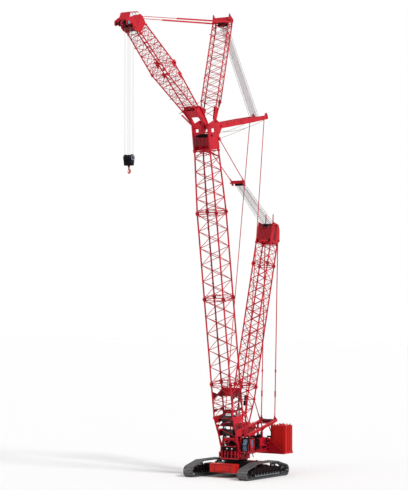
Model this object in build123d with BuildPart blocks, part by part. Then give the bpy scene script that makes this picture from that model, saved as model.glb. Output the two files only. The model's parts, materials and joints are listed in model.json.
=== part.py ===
from build123d import *
from math import cos, radians, sin
import os

os.makedirs("parts", exist_ok=True)

# Crawler crane with lattice boom, luffing jib and fixed mast.
# Sizes are millimetres at one tenth of full size. +X is the crane's left, -Y is
# forward, +Z is up, and the origin is on the ground under the swing centre.

# Clearances
seat_gap = 0.3  # between curved or moving faces that bear on each other
pin_play = 0.15  # radial clearance of a bore on its pin
hinge_gap = 2.0  # beside an eye on its pin
window_gap = 0.4  # round a pane in its opening

# Crawlers
gauge = 884  # between track centres
shoe_width = 152
tumbler_y = 455  # end tumblers, fore and aft of the swing centre
end_radius = 80  # outside of the track round a tumbler
crown_y = 232  # carrier rollers under the raised upper run
crown_z = 220  # top of the raised upper run
crown_radius = 45
track_thickness = 25
shoe_count = 58
shoe_gap = 5
shoe_gap_depth = 8
side_frame_width = 88
side_frame_low = 68
side_frame_high = 150
side_frame_rise = 36  # of its ends before they slope up
tumbler_width = 44
tumbler_axle_radius = 14
arm_thickness = 14
arm_length = 150
arm_height = 40
arm_overhang = 25  # past the end tumbler's axle
roller_radius = 20
roller_count = 13
roller_pitch = 54
roller_width = 48
roller_axle_radius = 6
bracket_thickness = 10
bracket_length = 16  # fore and aft
bracket_drop = 8  # below the axle it carries
post_length = 20
weld_overlap = 2

# Carbody
carbody_width = 460
carbody_length = 500
carbody_low = 95
carbody_high = 190
carbody_corner = 30
cross_beam_y = 150
cross_beam_width = 96
cross_beam_low = 72
cross_beam_high = 158
carbody_weight_size = (420, 100, 117)
carbody_weight_low = 75
carbody_weight_corner = 6
lug_x = 200  # lifting lugs on the carbody
lug_y = 205
lug_thickness = 10
lug_width = 22
lug_height = 24
lug_bore_height = 14
lug_bore_radius = 5
ring_base_radius = 165
ring_base_height = 15
ring_radius = 152
ring_bore_radius = 118
ring_height = 30

# Rotating bed
bed_plate_thickness = 10
bed_front = -190
bed_step = 95  # the deep front box ends here
bed_rear = 840
bed_half_width = 164
bed_rear_half_width = 145
bed_core_half_width = 105
bed_floor = 306  # underside of the rear frame
bed_deck = 390
bed_nose_half_width = 128  # ahead of the boom's clevises
bed_nose_rear = -140
bed_lap = 4
bed_core_inset = 40

# Boom foot
boom_foot = (0, -125, 351)
boom_lean = 8.31  # degrees forward of upright
boom_eye_x = 140
boom_eye_width = 28
boom_eye_radius = 26
boom_pin_radius = 12
clevis_thickness = 10
clevis_reach = 24  # of a boom clevis fore and aft of its pin
clevis_rise = 34  # above the pin
clevis_slope_end = 10
mast_clevis_size = (104, 40)
mast_clevis_offset = 27

# Mast
mast_foot = (0, 15, 460)
mast_lean = 15.4  # degrees back from upright
mast_eye_x = 115
mast_eye_width = 20
mast_eye_radius = 22
mast_pin_radius = 10

# Machinery house and engine
house_half_width = 160
house_front = 190
house_rear = 565
house_high = 500
house_wall = 6
louvre_rows = 3
louvre_size = (90, 14)
louvre_pitch = 26
louvre_back = 80  # from the rear wall to the louvres' middle
engine_size = (90, 200, 90)

# Cab
cab_x = (190, 290)
cab_y = (-160, 10)
cab_z = (346, 543)
cab_wall = 8
cab_bracket_depth = 14
cab_bracket_inset = 5
cab_rake = 30  # the front glass leans back by this much
door_y = (-95, -8)
door_z = (360, 528)
pane_thickness = 3
cab_kink = 90  # height above the floor where the front glass starts to lean
cab_sill = 20
lower_pane_height = 66
raked_pane_trim = 18
raked_pane_drop = 4
side_pane_height = 90
side_pane_lift = 30  # above the door's middle
door_frame = 17
door_glass_height = 96
door_glass_lift = 20
door_gap = 5
knuckle_radius = 3
knuckle_height = 9
knuckle_pin_radius = 1.5
hinge_axis = (cab_x[1] + knuckle_radius, door_y[1] - door_gap / 2)
hinge_rows = (door_z[0] + 28, door_z[1] - 40)

# Gantry
gantry_x = 115
gantry_beam_width = 26
gantry_beam_depth = 34
gantry_front = (98, 546)  # Y, Z
gantry_rear = (852, 722)
gantry_leg_y = (465, 720)
gantry_leg_width = 22
gantry_tip_share = 0.6  # of the half beam, above its axis at the rear tip
gantry_pad_half = 20  # of the seat under the backstay, fore and aft
gantry_pad_run = 45
gantry_cross_size = (18, 22)
gantry_cross_inset = 16
gantry_cross_lead = 30
gantry_sheave_x = (18, 42, 66)
gantry_sheave_radius = 26
gantry_sheave_width = 12
gantry_sheave_shift = 8
sheave_axle_radius = 8
backstay_foot = (805, 735)
pad_height = 8  # of the seat under the backstay's foot

# Counterweight
tray_y = (568, 785)
tray_low = 278
stack_x = (200, 420)
stack_y = (595, 780)
stack_high = 670
stack_plates = 9
stack_groove = 3
stack_groove_depth = 4
tray_web_thickness = 20
tray_web_top = 12  # width of the web's flat top
tray_web_toe = 16
tray_web_inset = 8

# Boom sections: distance from the foot pin along the boom, half width, half depth
boom_half_width = 155
boom_half_depth = 120
boom_chord = 22
boom_lacing = 9
boom_lug = 30
boom_knee = 472  # the butt reaches its full depth here
boom_joint_low = 940
boom_joint_mid = 2110
boom_joint_high = 3280
boom_head_low = 4130
boom_head_half_width = 132
boom_head_half_depth = 100

# Boom head
head_plate_thickness = 10
jib_pin = (-84, 4458)  # behind the boom's axis, up the axis
strut_pin = (87, 4504)
rear_strut_pin = (200, 4432)
head_pin_radius = 9
boom_stay_pin = (122, 4267)
boom_head_rim = 12  # of the plates beyond the chords
boom_plate_inset = 6  # from the chords' middle to the plates'
boom_head_window = (70, 50)
boom_head_window_drop = 70
boom_head_sheave_x = (20, 60)
boom_head_sheave_radius = 30
boom_head_sheave_width = 16
boom_head_sheave_place = (-40, 190)  # behind the axis, above the head's foot
boom_head_beams = (  # behind the axis, above the head's foot, depth, height
    (-106, 60, 12, 110),
    (106, 5, 12, 90),
    (-70, 0, 160, 12),
    (-100, 225, 14, 20),
)

# Winches in the butt: distance up the boom, height of their cheek plates
winch_rows = ((255, 96), (445, 96))
cheek_inset = 20  # half depth of the cheeks at the legs' foot
drum_shaft_radius = 12
butt_panel = (775, 80, 8)  # closed panel behind: distance up the boom, height, thickness
cheek_thickness = 8
drum_radius = 42
drum_flange_radius = 58
drum_length = 150
drum_flange_width = 8
strut_stay_foot = (170, 500)  # behind the boom's axis, up the axis

equalizer_at = Vector(0, 30, 4055)

# Rear strut
rear_strut_tip = (0, 632, 4984)
rear_strut_plate = 16
rear_strut_depth = 66
rear_strut_tip_depth = 50
rear_strut_foot = (20, 24)  # beyond the pin, half depth there
rear_strut_knees = (30, 0.6, 0.75)  # full depth from here, to these shares below and above
rear_strut_beams = (0.22, 0.55, 0.97)  # shares of the strut's length
rear_strut_beam_size = (40, 14)
rear_sheave_share = 0.86
rear_sheave_x = (12, 34, 56)
rear_sheave_radius = 27
rear_sheave_width = 12
rear_stay_top_y = 528
rear_stay_width = 7

# Front strut
front_strut_head = (0, -325, 6240)
strut_eye_x = 106
strut_eye_width = 18
strut_half_width = 130
strut_half_depth = 44
strut_chord = 15.5
strut_lacing = 7
strut_foot_length = 280  # plated legs below the lattice
strut_foot_radius = 16
strut_foot_reach = 70
strut_lattice_drop = 60  # the lattice stops this far below the head
strut_horn_outline = (  # behind the strut's axis, above its head
    (-64, 66),
    (52, 8),
    (30, -110),
    (16, -40),
    (-52, -72),
    (-56, 14),
)
strut_horn_plate = 10
strut_head_beams = ((-34, -30), (24, -20), (-20, 10))  # behind, above the head
strut_head_beam_size = (12, 34)

# Jib
jib_rise = 38.1  # degrees above level
jib_eye_x = 106
jib_eye_width = 18
jib_chord = 17
jib_lacing = 7.5
jib_plate_end = 320
jib_knee = 1100
jib_head_low = 1830
jib_head_high = 2030
jib_head_x = 94  # middle of each head plate
jib_head_plate = 10
jib_head_beams = (  # behind the axis, above the head's foot, depth, height
    (60, 6, 60, 12),
    (74, 90, 30, 12),
    (-40, 170, 14, 30),
)
hanger_pin_length = 18
jib_stay_width = 10
jib_stay_end_width = 6
jib_stay_knuckle = 0.62  # share of the way down to the head
jib_stay_depths = (20, 8)
jib_stay_end = (107, 1945)
jib_stay_pin_drop = 40  # from the strut head down to the stays' pins
jib_stay_pin_lead = 30
jib_stay_pin_radius = 6
jib_stay_eye_radius = 14

# Hook
hook_top = 4270
hoist_axle = (-95, 1960)  # main hoist sheaves under the jib's head
hoist_sheave_radius = 30
hoist_sheave_width = 14
hoist_line_diameter = 4
hoist_fall_x = 40
guide_axle = (-155, 2095)  # sheaves at the very tip
guide_sheave_radius = 40
guide_sheave_x = 35
hanger_pin_radius = 8
hanger_eye_radius = 13
hanger_eye_width = 6
limit_weight_drop = 265
limit_weight_radius = 13
limit_weight_height = 40
hook_cheek_x = 52
hook_cheek_radius = 44
hook_cheek_width = 8
hook_cheek_foot = (60, 40)
hook_cheek_drop = 125
hook_axle_radius = 10
hook_axle_proud = 7  # beyond each cheek
hook_yoke_drop = 130
hook_yoke_size = (50, 30)
hook_bar_radius = 9
hook_shank_drop = 145
hook_shank_length = 50
hook_bend_drop = 215
hook_bend_radius = 22
hook_bend_sweep = 270
hook_sheave_drop = 45  # from the block's top to its sheave axle


def axis_frame(origin, lean):
    """Frame with Z along a member that leans forward by lean degrees, and Y behind it."""
    along = (0, -sin(radians(lean)), cos(radians(lean)))
    return Plane(origin=origin, x_dir=(1, 0, 0), z_dir=along)


def side_plane(frame, x):
    """Plane across the crane at x, whose axes are behind and along the member."""
    return Plane(origin=frame.from_local_coords((x, 0, 0)), x_dir=frame.y_dir, z_dir=frame.x_dir)


def tube(start, end, diameter):
    run = Vector(end) - Vector(start)
    return Solid.make_cylinder(diameter / 2, run.length, Plane(origin=start, z_dir=run))


def bar(start, end, wide, deep):
    """Flat bar from start to end, wide across the crane."""
    run = Vector(end) - Vector(start)
    across = Vector(1, 0, 0) - run * (run.X / run.length**2)
    place = Plane(origin=start, x_dir=across, z_dir=run)
    middle = (Align.CENTER, Align.CENTER, Align.MIN)
    return place * Box(wide, deep, run.length, align=middle, mode=Mode.PRIVATE)


def setback(run, face_normal, radius):
    """How far along run a square-cut end of this radius stays back from a flat seat."""
    square = abs(run.dot(face_normal))
    lead = radius * (1 - square**2) ** 0.5
    return (lead + seat_gap) / square


def corners(station):
    """The four chords' places at a station (along, half width, front, rear)."""
    along, half_width, front, rear = station
    return [
        (-half_width, front, along),
        (half_width, front, along),
        (half_width, rear, along),
        (-half_width, rear, along),
    ]


def between(first, last, share):
    return tuple(a + (b - a) * share for a, b in zip(first, last))


def lattice(frame, first, last, panels, chord, lacing, lug, ends=(True, True)):
    """Four chords from station first to station last, laced in zigzags on every face.

    Pin lugs close the chords at the ends that are asked for, flush with the station.
    """
    length = last[0] - first[0]
    inset = lug / 2 / length
    rows = [
        corners(between(first, last, inset + (1 - 2 * inset) * step / panels))
        for step in range(panels + 1)
    ]
    place = frame.from_local_coords
    members = []
    for corner in range(4):
        members.append(tube(place(rows[0][corner]), place(rows[-1][corner]), chord))
    for step in range(panels):
        for face in range(4):
            even = face if face % 2 == 0 else (face + 1) % 4
            odd = face if face % 2 == 1 else (face + 1) % 4
            begin, finish = (even, odd) if step % 2 == 0 else (odd, even)
            members.append(tube(place(rows[step][begin]), place(rows[step + 1][finish]), lacing))
    for row, wanted in ((rows[0], ends[0]), (rows[-1], ends[1])):
        for face in range(4):
            if wanted:
                across = (place(row[face]), place(row[(face + 1) % 4]))
                members.append(tube(*across, lacing))
                lug_place = Plane(origin=place(row[face]), x_dir=frame.x_dir, z_dir=frame.z_dir)
                side = chord * 1.25
                members.append(lug_place * Box(side, side, lug, mode=Mode.PRIVATE))
    return members


def mirrored_x(*values):
    return [-value for value in values] + list(values)


# ---- Crawlers ----
track_x = gauge / 2


def track_outline(inset):
    """Side outline of the track, moved in by inset."""
    with Locations((-tumbler_y, end_radius), (tumbler_y, end_radius)):
        Circle(end_radius - inset)
    with Locations((-crown_y, crown_z - crown_radius), (crown_y, crown_z - crown_radius)):
        Circle(crown_radius - inset)
    make_hull()


with BuildPart() as left_track:
    with BuildSketch(Plane.YZ.offset(track_x - shoe_width / 2)) as outside:
        track_outline(0)
    extrude(amount=shoe_width)
    with BuildSketch(Plane.YZ.offset(track_x - shoe_width / 2)):
        track_outline(track_thickness)
    extrude(amount=shoe_width, mode=Mode.SUBTRACT)
    rim = outside.sketch.face().outer_wire()
    gaps = []
    for shoe in range(shoe_count):
        share = (shoe + 0.5) / shoe_count
        point = rim.position_at(share)
        middle = Vector(track_x, point.Y, point.Z)
        gaps.append(Plane(origin=middle, x_dir=(1, 0, 0), z_dir=rim.tangent_at(share)))
    with Locations(*gaps):
        Box(shoe_width + 2, 2 * shoe_gap_depth, shoe_gap, mode=Mode.SUBTRACT)

with BuildPart() as right_track:
    mirror(left_track.part, about=Plane.YZ)

tumbler_radius = end_radius - track_thickness - seat_gap
frame_end = tumbler_y - tumbler_radius - 5
carrier_radius = crown_radius - track_thickness - seat_gap
carrier_z = crown_z - crown_radius
roller_z = track_thickness + seat_gap + roller_radius
roller_rows = [
    (index - (roller_count - 1) / 2) * roller_pitch for index in range(roller_count)
]
bracket_x = roller_width / 2 + 6

with BuildPart() as left_crawler_frame:
    with BuildSketch(Plane.YZ.offset(track_x - side_frame_width / 2)):
        Polygon(
            (-frame_end, side_frame_low),
            (frame_end, side_frame_low),
            (frame_end, side_frame_low + side_frame_rise),
            (crown_y + 30, side_frame_high),
            (-crown_y - 30, side_frame_high),
            (-frame_end, side_frame_low + side_frame_rise),
            align=None,
        )
    extrude(amount=side_frame_width)
    arm_x = tumbler_width / 2 + 2 + arm_thickness / 2
    arm_middle = tumbler_y + arm_overhang - arm_length / 2
    with Locations(
        *[
            (track_x + side * arm_x, end * arm_middle, end_radius)
            for side in (-1, 1)
            for end in (-1, 1)
        ]
    ):
        Box(arm_thickness, arm_length, arm_height)
    bracket_height = side_frame_low + weld_overlap - (roller_z - bracket_drop)
    with Locations(
        *[
            (track_x + side * (bracket_x + bracket_thickness / 2), y, roller_z - bracket_drop)
            for side in (-1, 1)
            for y in roller_rows
        ]
    ):
        Box(
            bracket_thickness,
            bracket_length,
            bracket_height,
            align=(Align.CENTER, Align.CENTER, Align.MIN),
        )
    bracket_middle = bracket_x + bracket_thickness / 2
    post_height = carrier_z + bracket_drop - (side_frame_high - weld_overlap)
    with Locations(
        *[
            (track_x + side * bracket_middle, end * crown_y, side_frame_high - weld_overlap)
            for side in (-1, 1)
            for end in (-1, 1)
        ]
    ):
        Box(
            bracket_thickness,
            post_length,
            post_height,
            align=(Align.CENTER, Align.CENTER, Align.MIN),
        )

with BuildPart() as right_crawler_frame:
    mirror(left_crawler_frame.part, about=Plane.YZ)


def wheels(places, radius, width, axle_radius, axle_length):
    """Wheels on axles that run across the crane; places are (Y, Z) on the left track's centre."""
    planes = [Plane(origin=(track_x, y, z), z_dir=(1, 0, 0)) for y, z in places]
    with Locations(*planes):
        Cylinder(radius, width)
        Cylinder(axle_radius, axle_length)


with BuildPart() as left_rollers:
    bearing_span = 2 * bracket_x - 2 * seat_gap
    lower = [(y, roller_z) for y in roller_rows]
    wheels(lower, roller_radius, roller_width, roller_axle_radius, bearing_span)
    upper = [(-crown_y, carrier_z), (crown_y, carrier_z)]
    wheels(upper, carrier_radius, roller_width, roller_axle_radius, bearing_span)
    arm_span = 2 * (arm_x - arm_thickness / 2) - 2 * seat_gap
    tumblers = [(-tumbler_y, end_radius), (tumbler_y, end_radius)]
    wheels(tumblers, tumbler_radius, tumbler_width, tumbler_axle_radius, arm_span)

with BuildPart() as right_rollers:
    mirror(left_rollers.part, about=Plane.YZ)

# ---- Carbody ----
with BuildPart() as carbody_frame:
    with Locations((0, 0, (carbody_low + carbody_high) / 2)):
        Box(carbody_width, carbody_length, carbody_high - carbody_low)
    chamfer(carbody_frame.edges().filter_by(Axis.Z), carbody_corner)
    beam_span = 2 * (track_x - side_frame_width / 2)
    with Locations(
        (0, -cross_beam_y, (cross_beam_low + cross_beam_high) / 2),
        (0, cross_beam_y, (cross_beam_low + cross_beam_high) / 2),
    ):
        Box(beam_span, cross_beam_width, cross_beam_high - cross_beam_low)
    with Locations((0, 0, carbody_high)):
        Cylinder(
            ring_base_radius,
            ring_base_height,
            align=(Align.CENTER, Align.CENTER, Align.MIN),
        )
    lug_places = [(x, y, carbody_high) for x in mirrored_x(lug_x) for y in mirrored_x(lug_y)]
    with Locations(*lug_places):
        Box(lug_width, lug_thickness, lug_height, align=(Align.CENTER, Align.CENTER, Align.MIN))
    bores = [Plane(origin=(x, y, z + lug_bore_height), z_dir=(0, 1, 0)) for x, y, z in lug_places]
    with Locations(*bores):
        Cylinder(lug_bore_radius, 2 * lug_thickness, mode=Mode.SUBTRACT)

weight_y = carbody_length / 2 + carbody_weight_size[1] / 2
with BuildPart() as front_carbody_weight:
    with Locations((0, -weight_y, carbody_weight_low + carbody_weight_size[2] / 2)):
        Box(*carbody_weight_size)
    chamfer(front_carbody_weight.edges().filter_by(Axis.Z).group_by(Axis.Y)[0], carbody_weight_corner)

with BuildPart() as rear_carbody_weight:
    mirror(front_carbody_weight.part, about=Plane.XZ)

ring_low = carbody_high + ring_base_height
with BuildPart() as slewing_ring:
    with BuildSketch(Plane.XY.offset(ring_low)):
        Circle(ring_radius)
        Circle(ring_bore_radius, mode=Mode.SUBTRACT)
    extrude(amount=ring_height)

# ---- Rotating bed ----
bed_low = ring_low + ring_height + seat_gap
boom_clevis_inner = boom_eye_x - boom_eye_width / 2 - hinge_gap
boom_clevis_outer = boom_eye_x + boom_eye_width / 2 + hinge_gap
mast_clevis_inner = mast_eye_x - mast_eye_width / 2
mast_clevis_outer = mast_eye_x + mast_eye_width / 2

with BuildPart() as rotating_bed:
    with BuildSketch(Plane.XY.offset(bed_low)):
        with Locations((0, (bed_front + bed_step) / 2)):
            Rectangle(2 * bed_nose_half_width, bed_step - bed_front)
        Circle(ring_radius)
    extrude(amount=bed_plate_thickness)
    for half_width, first in (
        (bed_nose_half_width, bed_front + bed_lap),
        (bed_half_width, bed_nose_rear),
    ):
        with Locations((0, first, bed_low + bed_plate_thickness)):
            Box(
                2 * half_width,
                bed_step - bed_lap - first,
                bed_floor + bed_lap - bed_low - bed_plate_thickness,
                align=(Align.CENTER, Align.MIN, Align.MIN),
            )
    with Locations((0, bed_front + bed_core_inset, bed_floor)):
        Box(
            2 * bed_core_half_width,
            bed_rear - bed_front - bed_core_inset,
            bed_deck - bed_floor,
            align=(Align.CENTER, Align.MIN, Align.MIN),
        )
    with Locations((0, (bed_step + bed_rear) / 2, bed_floor)):
        Box(
            2 * bed_rear_half_width,
            bed_rear - bed_step,
            bed_deck - bed_floor,
            align=(Align.CENTER, Align.CENTER, Align.MIN),
        )
    for side in (-1, 1):
        for near in (boom_clevis_inner - clevis_thickness, boom_clevis_outer):
            start = near if side > 0 else -near - clevis_thickness
            with BuildSketch(Plane.YZ.offset(start)):
                Polygon(
                    (bed_nose_rear - clevis_slope_end, bed_floor - bed_lap),
                    (boom_foot[1] - clevis_reach, boom_foot[2] + clevis_rise),
                    (boom_foot[1] + clevis_reach, boom_foot[2] + clevis_rise),
                    (bed_step - clevis_slope_end, bed_floor - bed_lap),
                    align=None,
                )
            extrude(amount=clevis_thickness)
        for near in (mast_clevis_inner - clevis_thickness, mast_clevis_outer):
            start = near if side > 0 else -near - clevis_thickness
            with BuildSketch(Plane.YZ.offset(start)):
                with Locations(mast_foot[1:]):
                    Circle(mast_eye_radius)
                with Locations((mast_foot[1] + mast_clevis_offset, bed_deck - mast_clevis_size[1] / 2)):
                    Rectangle(*mast_clevis_size)
                make_hull()
            extrude(amount=clevis_thickness)
    boom_pin_start = boom_clevis_inner - clevis_thickness
    boom_pin_length = boom_clevis_outer + clevis_thickness - boom_pin_start
    mast_pin_start = mast_clevis_inner - clevis_thickness
    mast_pin_length = mast_clevis_outer + clevis_thickness - mast_pin_start
    for side in (-1, 1):
        for pin, start, length, radius in (
            (boom_foot, boom_pin_start, boom_pin_length, boom_pin_radius),
            (mast_foot, mast_pin_start, mast_pin_length, mast_pin_radius),
        ):
            place = Plane(origin=(side * start, pin[1], pin[2]), z_dir=(side, 0, 0))
            with Locations(place):
                Cylinder(radius, length, align=(Align.CENTER, Align.CENTER, Align.MIN))

with BuildPart() as cab_bracket:
    outer = boom_clevis_outer + clevis_thickness
    with Locations(((outer + cab_x[1]) / 2, (cab_y[0] + cab_y[1]) / 2, cab_z[0])):
        Box(
            cab_x[1] - outer,
            cab_y[1] - cab_y[0] - 2 * cab_bracket_inset,
            cab_bracket_depth,
            align=(Align.CENTER, Align.CENTER, Align.MAX),
        )

# ---- Machinery house ----
with BuildPart() as machinery_house:
    with Locations((0, (house_front + house_rear) / 2, bed_deck)):
        Box(
            2 * house_half_width,
            house_rear - house_front,
            house_high - bed_deck,
            align=(Align.CENTER, Align.CENTER, Align.MIN),
        )
    with Locations((0, (house_front + house_rear) / 2, bed_deck)):
        Box(
            2 * (house_half_width - house_wall),
            house_rear - house_front - 2 * house_wall,
            house_high - bed_deck - house_wall,
            align=(Align.CENTER, Align.CENTER, Align.MIN),
            mode=Mode.SUBTRACT,
        )
    with Locations(
        *[
            (side * house_half_width, house_rear - louvre_back, bed_deck + louvre_pitch * (row + 1))
            for side in (-1, 1)
            for row in range(louvre_rows)
        ]
    ):
        Box(3 * house_wall, *louvre_size, mode=Mode.SUBTRACT)

with BuildPart() as engine_block:
    with Locations((0, (house_front + house_rear) / 2, bed_deck)):
        Box(*engine_size, align=(Align.CENTER, Align.CENTER, Align.MIN))

# ---- Cab ----
door_middle = ((door_y[0] + door_y[1]) / 2, (door_z[0] + door_z[1]) / 2)
cab_outline = [
    (cab_y[0], cab_z[0]),
    (cab_y[1], cab_z[0]),
    (cab_y[1], cab_z[1]),
    (cab_y[0] + cab_rake, cab_z[1]),
    (cab_y[0], cab_z[0] + cab_kink),
]
with BuildPart() as operator_cab:
    with BuildSketch(Plane.YZ.offset(cab_x[0])):
        Polygon(*cab_outline, align=None)
    extrude(amount=cab_x[1] - cab_x[0])
    with BuildSketch(Plane.YZ.offset(cab_x[0] + cab_wall)):
        Polygon(*cab_outline, align=None)
        offset(amount=-cab_wall, mode=Mode.REPLACE)
    extrude(amount=cab_x[1] - cab_x[0] - 2 * cab_wall, mode=Mode.SUBTRACT)
    front_glass_width = cab_x[1] - cab_x[0] - 4 * cab_wall
    with Locations(((cab_x[0] + cab_x[1]) / 2, cab_y[0], cab_z[0] + cab_sill)):
        Box(
            front_glass_width,
            2 * cab_rake + 4 * cab_wall,
            cab_z[1] - cab_z[0] - 2 * cab_sill,
            align=(Align.CENTER, Align.CENTER, Align.MIN),
            mode=Mode.SUBTRACT,
        )
    with Locations((cab_x[1], *door_middle)):
        Box(4 * cab_wall, door_y[1] - door_y[0], door_z[1] - door_z[0], mode=Mode.SUBTRACT)
    with Locations((cab_x[0], door_middle[0], door_middle[1] + side_pane_lift)):
        Box(4 * cab_wall, door_y[1] - door_y[0], side_pane_height, mode=Mode.SUBTRACT)
    upright = (Align.CENTER, Align.CENTER, Align.MIN)
    for low in hinge_rows:
        with Locations((*hinge_axis, low)):
            Cylinder(knuckle_radius, knuckle_height, align=upright)
            Cylinder(knuckle_pin_radius, 2 * knuckle_height, align=upright)
        with Locations((cab_x[1], hinge_axis[1], low)):
            Box(
                2 * knuckle_radius,
                knuckle_radius * 3,
                knuckle_height,
                align=(Align.MIN, Align.MIN, Align.MIN),
            )

front_edge = Vector(0, cab_y[0] + cab_rake, cab_z[1]) - Vector(0, cab_y[0], cab_z[0] + cab_kink)
rake_plane = Plane(
    origin=((cab_x[0] + cab_x[1]) / 2, cab_y[0], cab_z[0] + cab_kink),
    x_dir=(1, 0, 0),
    z_dir=Vector(1, 0, 0).cross(front_edge),
)
with BuildPart() as cab_windows:
    pane_width = front_glass_width - 2 * window_gap
    with BuildSketch(Plane.XZ.offset(-cab_y[0] - cab_wall / 2)):
        with Locations(((cab_x[0] + cab_x[1]) / 2, cab_z[0] + cab_sill + window_gap)):
            Rectangle(pane_width, lower_pane_height, align=(Align.CENTER, Align.MIN))
    extrude(amount=-pane_thickness)
    with BuildSketch(rake_plane.offset(-cab_wall / 2)):
        with Locations((0, -raked_pane_drop)):
            Rectangle(pane_width, front_edge.length - raked_pane_trim, align=(Align.CENTER, Align.MIN))
    extrude(amount=-pane_thickness)
    with Locations(
        (cab_x[0] + cab_wall / 2, door_middle[0], door_middle[1] + side_pane_lift)
    ):
        Box(pane_thickness, door_y[1] - door_y[0] - 2 * window_gap, side_pane_height - 2 * window_gap)

with BuildPart() as cab_door:
    with Locations((cab_x[1] - cab_wall / 2, *door_middle)):
        Box(
            cab_wall,
            door_y[1] - door_y[0] - 2 * door_gap,
            door_z[1] - door_z[0] - 2 * door_gap,
        )
    with Locations((cab_x[1] - cab_wall / 2, door_middle[0], door_middle[1] + door_glass_lift)):
        Box(2 * cab_wall, door_y[1] - door_y[0] - 2 * door_frame, door_glass_height, mode=Mode.SUBTRACT)
    for low in hinge_rows:
        base = low + knuckle_height + seat_gap
        with Locations((*hinge_axis, base)):
            Cylinder(knuckle_radius, knuckle_height, align=upright)
        with Locations((cab_x[1] - weld_overlap, hinge_axis[1], base)):
            Box(
                weld_overlap + 2 * knuckle_radius,
                knuckle_radius * 3,
                knuckle_height,
                align=(Align.MIN, Align.MAX, Align.MIN),
            )
        with Locations((*hinge_axis, base)):
            Cylinder(
                knuckle_pin_radius + pin_play,
                knuckle_height,
                align=upright,
                mode=Mode.SUBTRACT,
            )

with BuildPart() as cab_door_window:
    with Locations((cab_x[1] - cab_wall / 2, door_middle[0], door_middle[1] + door_glass_lift)):
        Box(
            pane_thickness,
            door_y[1] - door_y[0] - 2 * door_frame - 2 * window_gap,
            door_glass_height - 2 * window_gap,
        )

# ---- Gantry ----
beam_slope = (gantry_rear[1] - gantry_front[1]) / (gantry_rear[0] - gantry_front[0])


def beam_height(y):
    return gantry_front[1] + (y - gantry_front[0]) * beam_slope


half_beam = gantry_beam_depth / 2
pad_front = backstay_foot[0] - gantry_pad_run
cross_y = gantry_leg_y[1] - gantry_cross_lead
with BuildPart() as gantry_frame:
    for side in (-1, 1):
        with BuildSketch(Plane.YZ.offset(side * gantry_x - gantry_beam_width / 2)):
            Polygon(
                (gantry_front[0], gantry_front[1] - half_beam),
                (gantry_rear[0], gantry_rear[1] - half_beam),
                (gantry_rear[0], gantry_rear[1] + half_beam * gantry_tip_share),
                (backstay_foot[0] + gantry_pad_half, backstay_foot[1] + pad_height),
                (backstay_foot[0] - gantry_pad_half, backstay_foot[1] + pad_height),
                (pad_front, beam_height(pad_front) + half_beam),
                (gantry_front[0], gantry_front[1] + half_beam),
                align=None,
            )
        extrude(amount=gantry_beam_width)
    leg_rows = [
        (gantry_front[0] + gantry_leg_width / 2, bed_deck),
        (gantry_leg_y[0], house_high),
        (gantry_leg_y[1], bed_deck),
    ]
    for leg_y, leg_low in leg_rows:
        with Locations((-gantry_x, leg_y, leg_low), (gantry_x, leg_y, leg_low)):
            Box(
                gantry_leg_width,
                gantry_leg_width,
                beam_height(leg_y) - leg_low,
                align=(Align.CENTER, Align.CENTER, Align.MIN),
            )
    cross_places = [
        (0, gantry_leg_y[0], beam_height(gantry_leg_y[0])),
        (0, gantry_rear[0] - gantry_cross_inset, gantry_rear[1]),
        (0, cross_y, beam_height(cross_y) + 2 * weld_overlap),
    ]
    with Locations(*cross_places):
        Box(2 * gantry_x, *gantry_cross_size)

sheave_y = (gantry_leg_y[1] + gantry_rear[0]) / 2
with BuildPart() as gantry_sheaves:
    place = Plane(origin=(0, sheave_y + gantry_sheave_shift, beam_height(sheave_y)), z_dir=(1, 0, 0))
    with Locations(place):
        Cylinder(sheave_axle_radius, 2 * gantry_x - gantry_beam_width)
        with Locations(*[(0, 0, x) for x in mirrored_x(*gantry_sheave_x)]):
            Cylinder(gantry_sheave_radius, gantry_sheave_width)

# ---- Counterweight ----
with BuildPart() as counterweight_tray:
    with Locations((0, (tray_y[0] + tray_y[1]) / 2, tray_low)):
        Box(
            2 * stack_x[1],
            tray_y[1] - tray_y[0],
            bed_floor - tray_low,
            align=(Align.CENTER, Align.CENTER, Align.MIN),
        )
    for side in (-1, 1):
        with BuildSketch(Plane.XZ.offset(-tray_y[0] - tray_web_thickness)):
            Polygon(
                (side * bed_rear_half_width, bed_floor - weld_overlap),
                (side * bed_rear_half_width, house_high - house_wall),
                (side * (bed_rear_half_width + tray_web_top), house_high - house_wall),
                (side * (stack_x[1] - tray_web_thickness), bed_floor + tray_web_toe),
                (side * (stack_x[1] - tray_web_inset), bed_floor - weld_overlap),
                align=None,
            )
        extrude(amount=tray_web_thickness)


def weight_stack(side):
    """Stack of cast plates: one block with a groove at each joint between plates."""
    plate_height = (stack_high - bed_floor) / stack_plates
    middle_x = side * (stack_x[0] + stack_x[1]) / 2
    middle_y = (stack_y[0] + stack_y[1]) / 2
    wide = stack_x[1] - stack_x[0]
    long = stack_y[1] - stack_y[0]
    with Locations((middle_x, middle_y, bed_floor)):
        Box(wide, long, stack_high - bed_floor, align=(Align.CENTER, Align.CENTER, Align.MIN))
    joints = [bed_floor + plate_height * row for row in range(1, stack_plates)]
    with Locations(*[(middle_x, middle_y, z) for z in joints]):
        Box(2 * wide, 2 * long, stack_groove, mode=Mode.SUBTRACT)
    with Locations((middle_x, middle_y, bed_floor)):
        Box(
            wide - 2 * stack_groove_depth,
            long - 2 * stack_groove_depth,
            stack_high - bed_floor,
            align=(Align.CENTER, Align.CENTER, Align.MIN),
        )


with BuildPart() as left_counterweight:
    weight_stack(1)

with BuildPart() as right_counterweight:
    weight_stack(-1)

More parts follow.
